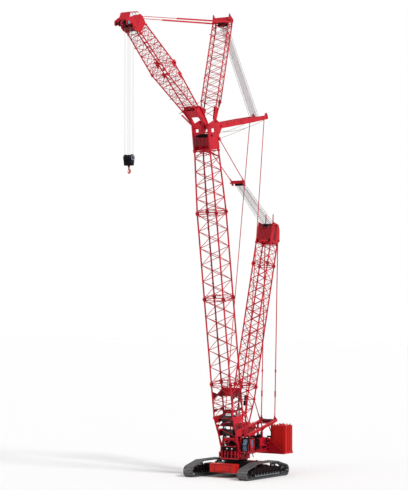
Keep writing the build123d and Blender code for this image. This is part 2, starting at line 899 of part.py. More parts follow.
# ---- Mast ----
mast_axis = axis_frame(mast_foot, -mast_lean)
mast_half_width = 121
mast_half_depth = 87
mast_chord = 20
mast_lacing = 10
mast_lug = 26
mast_knee = 620
mast_joint_low = 800
mast_joint_high = 2540
mast_head_low = 2860
mast_head_high = 3142
mast_head_plate = 10
mast_head_rim = 8  # of the plates beyond the chords
mast_cover_thickness = 8
mast_cover_drops = (60, 90)  # front and rear covers' tops below the head's top
mast_sheave_x = (14, 38, 62, 86)
mast_sheave_radius = 30
mast_sheave_width = 14
mast_sheave_axle_radius = 9
mast_sheave_behind = -20
mast_sheave_drop = 34
backstay_eye_radius = 13
backstay_size = (9, 12)
backstay_knuckle_width = 15
backstay_knuckles = (0.125, 0.142, 0.262)  # shares of the way up
backstay_knuckle_share = 0.016
backstay_foot_link = 40
backstay_top = (mast_half_depth + 22, mast_head_low + 62)
backstay_eye_width = 14
backstay_link_depth = 20
mast_lug_run = 34
mast_lug_reach = 16
mast_shoulder_drop = 70
mast_shoulder_run = 40
mast_full = (mast_half_width, -mast_half_depth, mast_half_depth)


def foot_legs(frame, eye_x, eye_width, eye_radius, bore, knee, half_width, half_depth, reach):
    """Two plated legs from their pin eyes up to where the lattice begins."""
    for side in (-1, 1):
        with BuildSketch(side_plane(frame, side * eye_x - eye_width / 2)) as leg:
            Circle(eye_radius)
            with Locations((0, reach)):
                Rectangle(2 * eye_radius * 0.9 + half_depth * reach / knee, 6)
            make_hull()
        extrude(leg.sketch, amount=eye_width)
    place = Plane(origin=frame.origin, z_dir=(1, 0, 0))
    with Locations(place):
        Cylinder(bore, 4 * half_width, mode=Mode.SUBTRACT)


with BuildPart() as mast_butt:
    mast_leg_top = 70
    near_foot = (mast_leg_top - 12, mast_eye_x, -16, 16)
    add(
        lattice(mast_axis, near_foot, (mast_knee, *mast_full), 5, mast_chord, mast_lacing, 0.2, (False, False))
        + lattice(mast_axis, (mast_knee - 8, *mast_full), (mast_joint_low, *mast_full), 2, mast_chord, mast_lacing, mast_lug)
    )
    foot_legs(
        mast_axis,
        mast_eye_x,
        mast_eye_width,
        mast_eye_radius,
        mast_pin_radius + pin_play,
        mast_knee,
        mast_half_width,
        mast_half_depth,
        mast_leg_top,
    )

with BuildPart() as mast_insert:
    add(
        lattice(mast_axis, (mast_joint_low, *mast_full), (mast_joint_high, *mast_full), 16, mast_chord, mast_lacing, mast_lug)
    )

with BuildPart() as mast_top:
    add(
        lattice(mast_axis, (mast_joint_high, *mast_full), (mast_head_low, *mast_full), 3, mast_chord, mast_lacing, mast_lug)
    )

mast_plate_x = mast_half_width - weld_overlap
head_rim = mast_half_depth + mast_head_rim
with BuildPart() as mast_head:
    for side in (-1, 1):
        with BuildSketch(side_plane(mast_axis, side * mast_plate_x - mast_head_plate / 2)):
            Polygon(
                (-head_rim, mast_head_low),
                (head_rim, mast_head_low),
                (head_rim, backstay_top[1] - mast_lug_run),
                (backstay_top[0] + mast_lug_reach, backstay_top[1] - mast_lug_reach),
                (backstay_top[0] + mast_lug_reach, backstay_top[1] + mast_lug_reach),
                (head_rim, mast_head_high - mast_shoulder_drop),
                (mast_half_depth - mast_shoulder_run, mast_head_high),
                (-head_rim, mast_head_high),
                align=None,
            )
        extrude(amount=mast_head_plate)
    for depth, low, high in (
        (-mast_half_depth, mast_head_low, mast_head_high - mast_cover_drops[0]),
        (mast_half_depth, mast_head_low, mast_head_high - mast_cover_drops[1]),
    ):
        middle = mast_axis.from_local_coords((0, depth, low))
        place = Plane(origin=middle, x_dir=(1, 0, 0), z_dir=mast_axis.z_dir)
        add(
            place
            * Box(
                2 * mast_plate_x,
                mast_cover_thickness,
                high - low,
                align=(Align.CENTER, Align.CENTER, Align.MIN),
                mode=Mode.PRIVATE,
            )
        )

mast_sheave_along = mast_head_high - mast_sheave_drop
with BuildPart() as mast_sheaves:
    middle = mast_axis.from_local_coords((0, mast_sheave_behind, mast_sheave_along))
    with Locations(Plane(origin=middle, z_dir=(1, 0, 0))):
        Cylinder(mast_sheave_axle_radius, 2 * mast_plate_x - mast_head_plate)
        with Locations(*[(0, 0, x) for x in mirrored_x(*mast_sheave_x)]):
            Cylinder(mast_sheave_radius, mast_sheave_width)

stay_top = mast_axis.from_local_coords((0, *backstay_top))
stay_top_x = mast_plate_x - mast_head_plate / 2 - seat_gap - backstay_eye_width / 2
with BuildPart() as mast_backstays:
    members = []
    for side in (-1, 1):
        top = Vector(side * stay_top_x, stay_top.Y, stay_top.Z)
        foot = Vector(side * (gantry_x - 3), *backstay_foot)
        rise = (top - foot).normalized()
        tilt_drop = backstay_link_depth / 2 * abs(rise.Y)
        lifted = foot + rise * (pad_height + seat_gap + tilt_drop)
        members.append(bar(lifted, top, *backstay_size))
        for share in backstay_knuckles:
            low = foot + (top - foot) * share
            high = foot + (top - foot) * (share + backstay_knuckle_share)
            members.append(bar(low, high, backstay_knuckle_width, backstay_link_depth))
        members.append(bar(lifted, lifted + rise * backstay_foot_link, backstay_eye_width, backstay_link_depth))
        eye = Plane(origin=top - Vector(backstay_eye_width / 2, 0, 0), z_dir=(1, 0, 0))
        members.append(Solid.make_cylinder(backstay_eye_radius, backstay_eye_width, eye))
    add(members)

stop_radius = 6.5
stop_sleeve_radius = 9
with BuildPart() as mast_stops:
    members = []
    beam_normal = Vector(0, -beam_slope, 1).normalized()
    for x in (-mast_half_width, mast_half_width):
        chord_side = mast_half_depth + mast_chord / 2
        seat = mast_axis.from_local_coords((x, chord_side, mast_knee - 10))
        leg_top = Vector(x, gantry_leg_y[0], beam_height(gantry_leg_y[0]) + half_beam)
        run = (seat - leg_top).normalized()
        foot = leg_top + run * setback(run, beam_normal, stop_sleeve_radius)
        top = seat - run * setback(run, mast_axis.y_dir, stop_radius)
        members.append(tube(foot, top, 2 * stop_radius))
        members.append(tube(foot, foot + (top - foot) * 0.5, 2 * stop_sleeve_radius))
    add(members)

# ---- Boom ----
boom_axis = axis_frame(boom_foot, boom_lean)
boom_full = (boom_half_width, -boom_half_depth, boom_half_depth)
head_station = (boom_head_half_width - boom_plate_inset, -boom_head_half_depth, boom_head_half_depth)

with BuildPart() as boom_butt:
    boom_leg_top = 95
    near_foot = (boom_leg_top - 16, boom_eye_x, -20, 20)
    add(
        lattice(boom_axis, near_foot, (boom_knee, *boom_full), 3, boom_chord, boom_lacing, 0.2, (False, False))
        + lattice(boom_axis, (boom_knee - 8, *boom_full), (boom_joint_low, *boom_full), 4, boom_chord, boom_lacing, boom_lug, (True, True))
    )
    foot_legs(
        boom_axis,
        boom_eye_x,
        boom_eye_width,
        boom_eye_radius,
        boom_pin_radius + pin_play,
        boom_knee,
        boom_half_width,
        boom_half_depth,
        boom_leg_top,
    )
    for along, cheek_tall in winch_rows:
        share = min(1, (along - boom_leg_top) / (boom_knee - boom_leg_top))
        cheek_x = boom_eye_x + (boom_half_width - boom_eye_x) * share
        cheek_deep = 2 * (cheek_inset + (boom_half_depth - cheek_inset) * share + weld_overlap)
        for side in (-1, 1):
            middle = boom_axis.from_local_coords((side * cheek_x, 0, along))
            place = Plane(origin=middle, x_dir=(1, 0, 0), z_dir=boom_axis.z_dir)
            add(place * Box(cheek_thickness, cheek_deep, cheek_tall, mode=Mode.PRIVATE))
    panel_middle = boom_axis.from_local_coords((0, boom_half_depth, butt_panel[0]))
    panel_place = Plane(origin=panel_middle, x_dir=(1, 0, 0), z_dir=boom_axis.z_dir)
    add(panel_place * Box(2 * boom_half_width, butt_panel[2], butt_panel[1], mode=Mode.PRIVATE))
    lug_behind = (boom_half_depth - 8, strut_stay_foot[0] + 12)
    lug_along = (strut_stay_foot[1] - 50, strut_stay_foot[1] + 34)
    for side in (-1, 1):
        with BuildSketch(side_plane(boom_axis, side * boom_half_width - 5)) as lug:
            Polygon(
                (lug_behind[0], lug_along[0]),
                (lug_behind[1], strut_stay_foot[1] - 12),
                (lug_behind[1], strut_stay_foot[1] + 12),
                (lug_behind[0], lug_along[1]),
                align=None,
            )
        extrude(lug.sketch, amount=10)

with BuildPart() as boom_lower_insert:
    add(
        lattice(boom_axis, (boom_joint_low, *boom_full), (boom_joint_mid, *boom_full), 10, boom_chord, boom_lacing, boom_lug)
    )

with BuildPart() as boom_upper_insert:
    add(
        lattice(boom_axis, (boom_joint_mid, *boom_full), (boom_joint_high, *boom_full), 10, boom_chord, boom_lacing, boom_lug)
    )

with BuildPart() as boom_taper_insert:
    add(
        lattice(boom_axis, (boom_joint_high, *boom_full), (boom_head_low, *head_station), 9, boom_chord, boom_lacing, boom_lug)
    )

inner_x = boom_head_half_width - boom_plate_inset
with BuildPart() as boom_head:
    plate_outline = [
        (-boom_head_half_depth - boom_head_rim, boom_head_low),
        (-boom_head_half_depth - boom_head_rim, jib_pin[1] + 2 * boom_head_rim),
        (jib_pin[0] + 30, jib_pin[1] + 34),
        (strut_pin[0] - 16, strut_pin[1] + 24),
        (strut_pin[0] + 22, strut_pin[1] + 20),
        (rear_strut_pin[0] + 26, rear_strut_pin[1] + 20),
        (rear_strut_pin[0] + 26, rear_strut_pin[1] - 24),
        (boom_stay_pin[0] + 16, boom_stay_pin[1] + 45),
        (boom_stay_pin[0] + 16, boom_stay_pin[1] - 14),
        (boom_head_half_depth + boom_head_rim, boom_stay_pin[1] - 40),
        (boom_head_half_depth + boom_head_rim, boom_head_low),
    ]
    for side in (-1, 1):
        with BuildSketch(side_plane(boom_axis, side * inner_x - head_plate_thickness / 2)):
            Polygon(*plate_outline, align=None)
            with Locations(((strut_pin[0] + jib_pin[0]) / 2, jib_pin[1] - boom_head_window_drop)):
                Rectangle(*boom_head_window, mode=Mode.SUBTRACT)
        extrude(amount=head_plate_thickness)
    for behind, above, deep, tall in boom_head_beams:
        middle = boom_axis.from_local_coords((0, behind, boom_head_low + above))
        place = Plane(origin=middle, x_dir=(1, 0, 0), z_dir=boom_axis.z_dir)
        align = (Align.CENTER, Align.CENTER, Align.MIN)
        beam = Box(2 * inner_x - weld_overlap, deep, tall, align=align, mode=Mode.PRIVATE)
        add(place * beam)
    for behind, along in (jib_pin, strut_pin, rear_strut_pin):
        for side in (-1, 1):
            origin = boom_axis.from_local_coords((side * inner_x, behind, along))
            reach = inner_x - (jib_eye_x - jib_eye_width / 2) + 4
            with Locations(Plane(origin=origin, z_dir=(-side, 0, 0))):
                Cylinder(head_pin_radius, reach, align=(Align.CENTER, Align.CENTER, Align.MIN))

with BuildPart() as boom_head_sheaves:
    behind, above = boom_head_sheave_place
    origin = boom_axis.from_local_coords((0, behind, boom_head_low + above))
    with Locations(Plane(origin=origin, z_dir=(1, 0, 0))):
        Cylinder(sheave_axle_radius, 2 * inner_x - head_plate_thickness - 2 * seat_gap)
        with Locations(*[(0, 0, x) for x in mirrored_x(*boom_head_sheave_x)]):
            Cylinder(boom_head_sheave_radius, boom_head_sheave_width)

with BuildPart() as hoist_winches:
    for along, cheek_tall in winch_rows:
        share = min(1, (along - boom_leg_top) / (boom_knee - boom_leg_top))
        cheek_x = boom_eye_x + (boom_half_width - boom_eye_x) * share
        origin = boom_axis.from_local_coords((0, 0, along))
        with Locations(Plane(origin=origin, z_dir=(1, 0, 0))):
            Cylinder(drum_shaft_radius, 2 * cheek_x - cheek_thickness - 2 * seat_gap)
            Cylinder(drum_radius, drum_length)
            with Locations(*[(0, 0, x) for x in mirrored_x(drum_length / 2)]):
                Cylinder(drum_flange_radius, drum_flange_width)

head_plate_outside = inner_x + head_plate_thickness / 2
stay_link_width = 11
stay_link_depth = 16
stay_link_share = 0.06  # of the stay's length, at each end
boom_stay_size = (7, 9)
stay_splay = 1.6  # the stays draw in from their pins, so they start this much further out
equalizer_half_width = 94
equalizer_beam = 40
equalizer_beam_shift = (12, 14)  # behind and below the stays' ends
equalizer_sheave_shift = (28, 44)
equalizer_sheave_radius = 22
equalizer_sheave_span = 140
with BuildPart() as boom_stays:
    members = []
    top_x = head_plate_outside + seat_gap + stay_splay + stay_link_width / 2
    low_x = equalizer_half_width + 2 * seat_gap + stay_link_width / 2
    for side in (-1, 1):
        top = boom_axis.from_local_coords((side * top_x, *boom_stay_pin))
        low = Vector(side * low_x, equalizer_at.Y, equalizer_at.Z)
        members.append(bar(top, low, *boom_stay_size))
        members.append(bar(top, top + (low - top) * stay_link_share, stay_link_width, stay_link_depth))
        members.append(bar(low + (top - low) * stay_link_share, low, stay_link_width, stay_link_depth))
    add(members)

with BuildPart() as equalizer:
    behind, drop = equalizer_beam_shift
    with Locations((0, equalizer_at.Y + behind, equalizer_at.Z - drop)):
        Box(2 * equalizer_half_width, equalizer_beam, equalizer_beam)
    behind, drop = equalizer_sheave_shift
    axle = (0, equalizer_at.Y + behind, equalizer_at.Z - drop)
    with Locations(Plane(origin=axle, z_dir=(1, 0, 0))):
        Cylinder(equalizer_sheave_radius, equalizer_sheave_span)

# ---- Rear strut ----
tip = Vector(*rear_strut_tip)
pivot = boom_axis.from_local_coords((0, rear_strut_pin[0], rear_strut_pin[1]))
with BuildPart() as rear_strut:
    reach = tip - pivot
    strut_place = Plane(origin=pivot, x_dir=reach, z_dir=(1, 0, 0))
    back, half_foot = rear_strut_foot
    knee, low_share, high_share = rear_strut_knees
    for side in (-1, 1):
        start = side * jib_eye_x - rear_strut_plate / 2
        with BuildSketch(strut_place.offset(start)):
            Polygon(
                (-back, -half_foot),
                (knee, -rear_strut_depth / 2),
                (reach.length * low_share, -rear_strut_depth / 2),
                (reach.length, -rear_strut_tip_depth / 2),
                (reach.length, rear_strut_tip_depth / 2),
                (reach.length * high_share, rear_strut_depth / 2),
                (knee, rear_strut_depth / 2),
                (-back, half_foot),
                align=None,
            )
            Circle(head_pin_radius + pin_play, mode=Mode.SUBTRACT)
        extrude(amount=rear_strut_plate)
    for share in rear_strut_beams:
        middle = pivot + reach * share
        place = Plane(origin=middle, x_dir=(1, 0, 0), z_dir=reach)
        add(place * Box(2 * jib_eye_x, *rear_strut_beam_size, mode=Mode.PRIVATE))

with BuildPart() as rear_strut_sheaves:
    origin = pivot + reach * rear_sheave_share
    with Locations(Plane(origin=origin, z_dir=(1, 0, 0))):
        Cylinder(sheave_axle_radius, 2 * jib_eye_x - rear_strut_plate - 2 * seat_gap)
        with Locations(*[(0, 0, x) for x in mirrored_x(*rear_sheave_x)]):
            Cylinder(rear_sheave_radius, rear_sheave_width)

with BuildPart() as rear_strut_stays:
    members = []
    top_x = jib_eye_x + rear_strut_plate / 2 + seat_gap + rear_stay_width / 2
    low_x = boom_half_width + 5 + seat_gap + rear_stay_width / 2
    share = (rear_stay_top_y - pivot.Y) / reach.Y
    for side in (-1, 1):
        top = pivot + reach * share
        top = Vector(side * top_x, top.Y, top.Z - 8)
        low = boom_axis.from_local_coords((side * low_x, *strut_stay_foot))
        members.append(bar(low, top, rear_stay_width, 9))
        members.append(bar(low, low + (top - low) * 0.014, rear_stay_width, 16))
    add(members)

# ---- Front strut ----
strut_foot = boom_axis.from_local_coords((0, strut_pin[0], strut_pin[1]))
strut_run = Vector(*front_strut_head) - strut_foot
strut_axis = Plane(origin=strut_foot, x_dir=(1, 0, 0), z_dir=strut_run)
strut_full = (strut_half_width, -strut_half_depth, strut_half_depth)
jib_stay_x = strut_half_width + 7 + seat_gap + stay_splay + jib_stay_width / 2
jib_stay_pin = (front_strut_head[1] - jib_stay_pin_lead, front_strut_head[2] - jib_stay_pin_drop)
jib_stay_pin_length = jib_stay_x + jib_stay_width - strut_half_width
with BuildPart() as front_strut:
    near_foot = (60, strut_eye_x, -12, 12)
    strut_top = strut_run.length
    add(
        lattice(strut_axis, near_foot, (strut_foot_length, *strut_full), 2, strut_chord, strut_lacing, 0.2, (False, False))
        + lattice(strut_axis, (strut_foot_length - 5, *strut_full), (strut_top - strut_lattice_drop, *strut_full), 12, strut_chord, strut_lacing, 20, (True, False))
    )
    foot_legs(
        strut_axis,
        strut_eye_x,
        strut_eye_width,
        strut_foot_radius,
        head_pin_radius + pin_play,
        strut_foot_length,
        strut_half_width,
        strut_half_depth,
        strut_foot_reach,
    )
    for side in (-1, 1):
        horn_start = side * (strut_half_width + weld_overlap) - strut_horn_plate / 2
        with BuildSketch(side_plane(strut_axis, horn_start)):
            Polygon(*[(y, strut_top + z) for y, z in strut_horn_outline], align=None)
        extrude(amount=strut_horn_plate)
    for behind, above in strut_head_beams:
        middle = strut_axis.from_local_coords((0, behind, strut_top + above))
        place = Plane(origin=middle, x_dir=(1, 0, 0), z_dir=strut_axis.z_dir)
        add(place * Box(2 * strut_half_width, *strut_head_beam_size, mode=Mode.PRIVATE))
    for side in (-1, 1):
        with Locations(Plane(origin=(side * strut_half_width, *jib_stay_pin), z_dir=(side, 0, 0))):
            Cylinder(jib_stay_pin_radius, jib_stay_pin_length, align=upright)

# ---- Jib ----
jib_foot = boom_axis.from_local_coords((0, jib_pin[0], jib_pin[1]))
jib_along = Vector(0, -cos(radians(jib_rise)), sin(radians(jib_rise)))
jib_axis = Plane(origin=jib_foot, x_dir=(1, 0, 0), z_dir=jib_along)
jib_stations = {
    "plate": (jib_plate_end, 112, -24, 46),
    "knee": (jib_knee, 130, -108, 108),
    "head": (jib_head_low, 104, -76, 84),
}
with BuildPart() as jib_butt:
    for side in (-1, 1):
        with BuildSketch(side_plane(jib_axis, side * jib_eye_x - jib_eye_width / 2)):
            Circle(18)
            with Locations((11, jib_plate_end - 5)):
                Rectangle(jib_stations["plate"][3] - jib_stations["plate"][2] + 14, 10)
            make_hull()
            Circle(head_pin_radius + pin_play, mode=Mode.SUBTRACT)
        extrude(amount=jib_eye_width)
    for behind, along, tall in ((38, 150, 160), (-18, 190, 120)):
        middle = jib_axis.from_local_coords((0, behind, along))
        place = Plane(origin=middle, x_dir=(1, 0, 0), z_dir=jib_axis.z_dir)
        align = (Align.CENTER, Align.CENTER, Align.MIN)
        add(place * Box(2 * jib_eye_x, 8, tall, align=align, mode=Mode.PRIVATE))
    plate_station = (jib_plate_end - 12, *jib_stations["plate"][1:])
    add(
        lattice(jib_axis, plate_station, jib_stations["knee"], 9, jib_chord, jib_lacing, 20, (True, True))
    )

with BuildPart() as jib_top:
    add(
        lattice(jib_axis, jib_stations["knee"], jib_stations["head"], 9, jib_chord, jib_lacing, 20)
    )

with BuildPart() as jib_head:
    for side in (-1, 1):
        with BuildSketch(side_plane(jib_axis, side * jib_head_x - jib_head_plate / 2)):
            Polygon(
                (-84, jib_head_low),
                (hoist_axle[0] - 26, hoist_axle[1] - 24),
                (hoist_axle[0] - 26, hoist_axle[1] + 22),
                (-92, jib_head_high),
                (guide_axle[0] - 30, guide_axle[1] - 8),
                (guide_axle[0] - 34, guide_axle[1] + 12),
                (guide_axle[0] + 4, guide_axle[1] + 42),
                (-58, jib_head_high + 74),
                (jib_stay_end[0] + 4, jib_stay_end[1] + 34),
                (jib_stay_end[0] + 10, jib_stay_end[1] - 30),
                (96, jib_head_low),
                align=None,
            )
        extrude(amount=jib_head_plate)
    for behind, above, deep, tall in jib_head_beams:
        middle = jib_axis.from_local_coords((0, behind, jib_head_low + above))
        place = Plane(origin=middle, x_dir=(1, 0, 0), z_dir=jib_axis.z_dir)
        add(place * Box(2 * jib_head_x, deep, tall, mode=Mode.PRIVATE))
    for side in (-1, 1):
        origin = jib_axis.from_local_coords((side * jib_head_x, *hoist_axle))
        with Locations(Plane(origin=origin, z_dir=(side, 0, 0))):
            Cylinder(hanger_pin_radius, hanger_pin_length, align=(Align.CENTER, Align.CENTER, Align.MIN))

jib_axle_length = 2 * jib_head_x - jib_head_plate - 2 * seat_gap
with BuildPart() as hoist_sheaves:
    middle = jib_axis.from_local_coords((0, *hoist_axle))
    with Locations(Plane(origin=middle, z_dir=(1, 0, 0))):
        Cylinder(sheave_axle_radius, jib_axle_length)
        with Locations(*[(0, 0, x) for x in mirrored_x(hoist_fall_x)]):
            Cylinder(hoist_sheave_radius, hoist_sheave_width)

with BuildPart() as jib_guide_sheaves:
    middle = jib_axis.from_local_coords((0, *guide_axle))
    with Locations(Plane(origin=middle, z_dir=(1, 0, 0))):
        Cylinder(sheave_axle_radius, jib_axle_length)
        with Locations(*[(0, 0, x) for x in mirrored_x(guide_sheave_x)]):
            Cylinder(guide_sheave_radius, hoist_sheave_width)

with BuildPart() as jib_stays:
    members = []
    far_x = jib_head_x + jib_head_plate / 2 + 2 * seat_gap + jib_stay_end_width / 2
    for side in (-1, 1):
        far = jib_axis.from_local_coords((side * far_x, *jib_stay_end))
        near = Vector(side * jib_stay_x, *jib_stay_pin)
        knuckle = near + (far - near) * jib_stay_knuckle
        members.append(bar(near, knuckle, jib_stay_width, jib_stay_depths[0]))
        members.append(bar(knuckle, far, jib_stay_end_width, jib_stay_depths[1]))
    add(members)
    with Locations(*[Plane(origin=(x, *jib_stay_pin), z_dir=(1, 0, 0)) for x in mirrored_x(jib_stay_x)]):
        Cylinder(jib_stay_eye_radius, jib_stay_width)
        Cylinder(jib_stay_pin_radius + pin_play, 2 * jib_stay_width, mode=Mode.SUBTRACT)

# ---- Hook ----
plumb = jib_axis.from_local_coords((0, *hoist_axle))
block_axle_z = hook_top - hook_sheave_drop
line_offset = hoist_sheave_radius + hoist_line_diameter / 2 + seat_gap
with BuildPart() as hoist_lines:
    for x in mirrored_x(hoist_fall_x):
        for offset in (-line_offset, line_offset):
            with Locations((x, plumb.Y + offset, block_axle_z)):
                Cylinder(
                    hoist_line_diameter / 2,
                    plumb.Z - block_axle_z,
                    align=(Align.CENTER, Align.CENTER, Align.MIN),
                )

hanger_x = jib_head_x + jib_head_plate / 2 + seat_gap + hanger_eye_width / 2
hanger_place = Plane(origin=(hanger_x, plumb.Y, plumb.Z), z_dir=(1, 0, 0))
with BuildPart() as hoist_limit_weight:
    with Locations(hanger_place):
        Cylinder(hanger_eye_radius, hanger_eye_width)
    with Locations((hanger_x, plumb.Y, plumb.Z)):
        Cylinder(2, limit_weight_drop, align=(Align.CENTER, Align.CENTER, Align.MAX))
    with Locations(hanger_place):
        Cylinder(hanger_pin_radius + pin_play, hanger_eye_width, mode=Mode.SUBTRACT)
    with Locations((hanger_x, plumb.Y, plumb.Z - limit_weight_drop)):
        Cylinder(limit_weight_radius, limit_weight_height)

with BuildPart() as hook_block:
    for side in (-1, 1):
        with BuildSketch(Plane.YZ.offset(side * hook_cheek_x - hook_cheek_width / 2)) as cheek:
            with Locations((plumb.Y, block_axle_z)):
                Circle(hook_cheek_radius)
            with Locations((plumb.Y, hook_top - hook_cheek_drop)):
                Rectangle(*hook_cheek_foot)
            make_hull()
        extrude(cheek.sketch, amount=hook_cheek_width)
    with Locations(Plane(origin=(0, plumb.Y, block_axle_z), z_dir=(1, 0, 0))):
        Cylinder(hoist_sheave_radius, 2 * hoist_fall_x + hoist_sheave_width)
        Cylinder(hook_axle_radius, 2 * (hook_cheek_x + hook_cheek_width / 2 + hook_axle_proud))
    with Locations((0, plumb.Y, hook_top - hook_yoke_drop)):
        Box(2 * hook_cheek_x, *hook_yoke_size)

with BuildPart() as load_hook:
    with Locations((0, plumb.Y, hook_top - hook_shank_drop)):
        Cylinder(hook_bar_radius, hook_shank_length, align=(Align.CENTER, Align.CENTER, Align.MAX))
    with BuildLine(Plane.YZ) as bend:
        centre = (plumb.Y, hook_top - hook_bend_drop)
        CenterArc(centre, hook_bend_radius, 90, -hook_bend_sweep)
    with BuildSketch(Plane(origin=bend.line @ 0, z_dir=bend.line % 0)):
        Circle(hook_bar_radius)
    sweep()

pieces = {
    "left_track": left_track,
    "right_track": right_track,
    "left_crawler_frame": left_crawler_frame,
    "right_crawler_frame": right_crawler_frame,
    "left_rollers": left_rollers,
    "right_rollers": right_rollers,
    "carbody_frame": carbody_frame,
    "front_carbody_weight": front_carbody_weight,
    "rear_carbody_weight": rear_carbody_weight,
    "slewing_ring": slewing_ring,
    "rotating_bed": rotating_bed,
    "cab_bracket": cab_bracket,
    "machinery_house": machinery_house,
    "engine_block": engine_block,
    "operator_cab": operator_cab,
    "cab_windows": cab_windows,
    "cab_door": cab_door,
    "cab_door_window": cab_door_window,
    "gantry_frame": gantry_frame,
    "gantry_sheaves": gantry_sheaves,
    "counterweight_tray": counterweight_tray,
    "left_counterweight": left_counterweight,
    "right_counterweight": right_counterweight,
    "mast_butt": mast_butt,
    "mast_insert": mast_insert,
    "mast_top": mast_top,
    "mast_head": mast_head,
    "mast_sheaves": mast_sheaves,
    "mast_backstays": mast_backstays,
    "mast_stops": mast_stops,
    "boom_butt": boom_butt,
    "boom_lower_insert": boom_lower_insert,
    "boom_upper_insert": boom_upper_insert,
    "boom_taper_insert": boom_taper_insert,
    "boom_head": boom_head,
    "boom_head_sheaves": boom_head_sheaves,
    "hoist_winches": hoist_winches,
    "boom_stays": boom_stays,
    "equalizer": equalizer,
    "rear_strut": rear_strut,
    "rear_strut_sheaves": rear_strut_sheaves,
    "rear_strut_stays": rear_strut_stays,
    "front_strut": front_strut,
    "jib_stays": jib_stays,
    "jib_butt": jib_butt,
    "jib_top": jib_top,
    "jib_head": jib_head,
    "hoist_sheaves": hoist_sheaves,
    "jib_guide_sheaves": jib_guide_sheaves,
    "hoist_lines": hoist_lines,
    "hoist_limit_weight": hoist_limit_weight,
    "hook_block": hook_block,
    "load_hook": load_hook,
}

for name, piece in pieces.items():
    piece.part.label = name
    export_step(piece.part, f"parts/{name}.step")
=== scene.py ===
import json
from math import acos, atan, atan2, cos, degrees, pi, radians, sin

import bmesh
import bpy
from mathutils import Matrix, Vector


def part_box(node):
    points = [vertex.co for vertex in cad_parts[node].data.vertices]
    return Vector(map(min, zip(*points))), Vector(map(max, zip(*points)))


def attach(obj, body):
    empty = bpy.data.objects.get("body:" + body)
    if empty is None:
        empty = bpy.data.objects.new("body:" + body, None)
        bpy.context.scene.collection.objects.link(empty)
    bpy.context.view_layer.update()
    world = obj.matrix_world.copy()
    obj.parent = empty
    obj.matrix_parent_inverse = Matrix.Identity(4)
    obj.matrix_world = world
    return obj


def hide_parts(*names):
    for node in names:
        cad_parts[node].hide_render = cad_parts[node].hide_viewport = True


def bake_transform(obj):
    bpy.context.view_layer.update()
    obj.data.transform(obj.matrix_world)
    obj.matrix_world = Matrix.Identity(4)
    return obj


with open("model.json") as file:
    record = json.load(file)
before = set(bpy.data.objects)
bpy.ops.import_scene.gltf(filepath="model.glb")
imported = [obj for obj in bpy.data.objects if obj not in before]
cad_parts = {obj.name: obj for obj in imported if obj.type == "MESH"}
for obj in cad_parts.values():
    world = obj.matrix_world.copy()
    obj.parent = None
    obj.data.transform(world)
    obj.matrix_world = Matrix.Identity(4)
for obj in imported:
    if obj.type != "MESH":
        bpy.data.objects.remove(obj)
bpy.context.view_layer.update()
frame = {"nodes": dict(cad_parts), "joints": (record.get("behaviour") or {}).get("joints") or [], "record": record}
nodes = frame["nodes"]
joints = {joint["name"]: joint for joint in frame["joints"]}
print("frame loaded:", len(nodes), "nodes")

# camera, lamps and floor
cameraSize = {
    "distance": 25.0, "side": 33.7, "height": 2.5, "aimLeft": 1.02, "pitch": 1.54, "lens": 133.35,
    "sensor": 36, "clipEnd": 200,
}
lampSize = {"sun": 2.5, "sunSpread": 12, "fill": 0.45, "fillSpread": 40, "world": 0.5}
floorSize = {"half": 60, "colour": (0.9, 0.9, 0.9, 1), "roughness": 0.9}


def makeCamera():
    turn = radians(cameraSize["side"])
    camera = bpy.data.objects.new("camera", bpy.data.cameras.new("camera"))
    camera.data.lens = cameraSize["lens"]
    camera.data.sensor_width = cameraSize["sensor"]
    camera.data.clip_end = cameraSize["clipEnd"]
    reach = cameraSize["distance"]
    camera.location = (reach * sin(turn), -reach * cos(turn), cameraSize["height"])
    camera.rotation_euler = (radians(90 + cameraSize["pitch"]), 0, turn + radians(cameraSize["aimLeft"]))
    bpy.context.scene.collection.objects.link(camera)
    bpy.context.scene.camera = camera


def makeSun(name, fromPoint, strength, spread):
    sun = bpy.data.objects.new(name, bpy.data.lights.new(name, "SUN"))
    sun.data.energy = strength
    sun.data.angle = radians(spread)
    sun.rotation_euler = Vector(fromPoint).to_track_quat("Z", "Y").to_euler()
    bpy.context.scene.collection.objects.link(sun)


makeCamera()
makeSun("keySun", (0.86, -0.12, 0.75), lampSize["sun"], lampSize["sunSpread"])
makeSun("fillSun", (-0.3, -0.9, 0.45), lampSize["fill"], lampSize["fillSpread"])
bpy.context.scene.view_settings.view_transform = "Standard"

# shader sums


class Number:
    # a socket of a shader tree; node() grows the next node from sockets and plain values
    def __init__(self, tree, socket=None):
        self.tree = tree
        self.socket = socket

    def node(self, kind, settings=None, inputs=None, output=0):
        made = self.tree.nodes.new(kind)
        for label, value in (settings or {}).items():
            setattr(made, label, value)
        for label, value in (inputs or {}).items():
            if isinstance(value, Number):
                self.tree.links.new(value.socket, made.inputs[label])
            else:
                made.inputs[label].default_value = value
        return Number(self.tree, made.outputs[output]) if made.outputs else made

    def maths(self, operation, first, second):
        return self.node("ShaderNodeMath", {"operation": operation}, {0: first, 1: second})

    def __add__(self, other):
        return self.maths("ADD", self, other)

    def __sub__(self, other):
        return self.maths("SUBTRACT", self, other)

    def __rsub__(self, other):
        return self.maths("SUBTRACT", other, self)

    def __mul__(self, other):
        return self.maths("MULTIPLY", self, other)

    __radd__ = __add__
    __rmul__ = __mul__

    def larger(self, other):
        return self.maths("MAXIMUM", self, other)

    def between(self, low, high):
        inputs = {"Value": self, "From Min": low, "From Max": high}
        return self.node("ShaderNodeMapRange", {"interpolation_type": "SMOOTHSTEP"}, inputs, "Result")


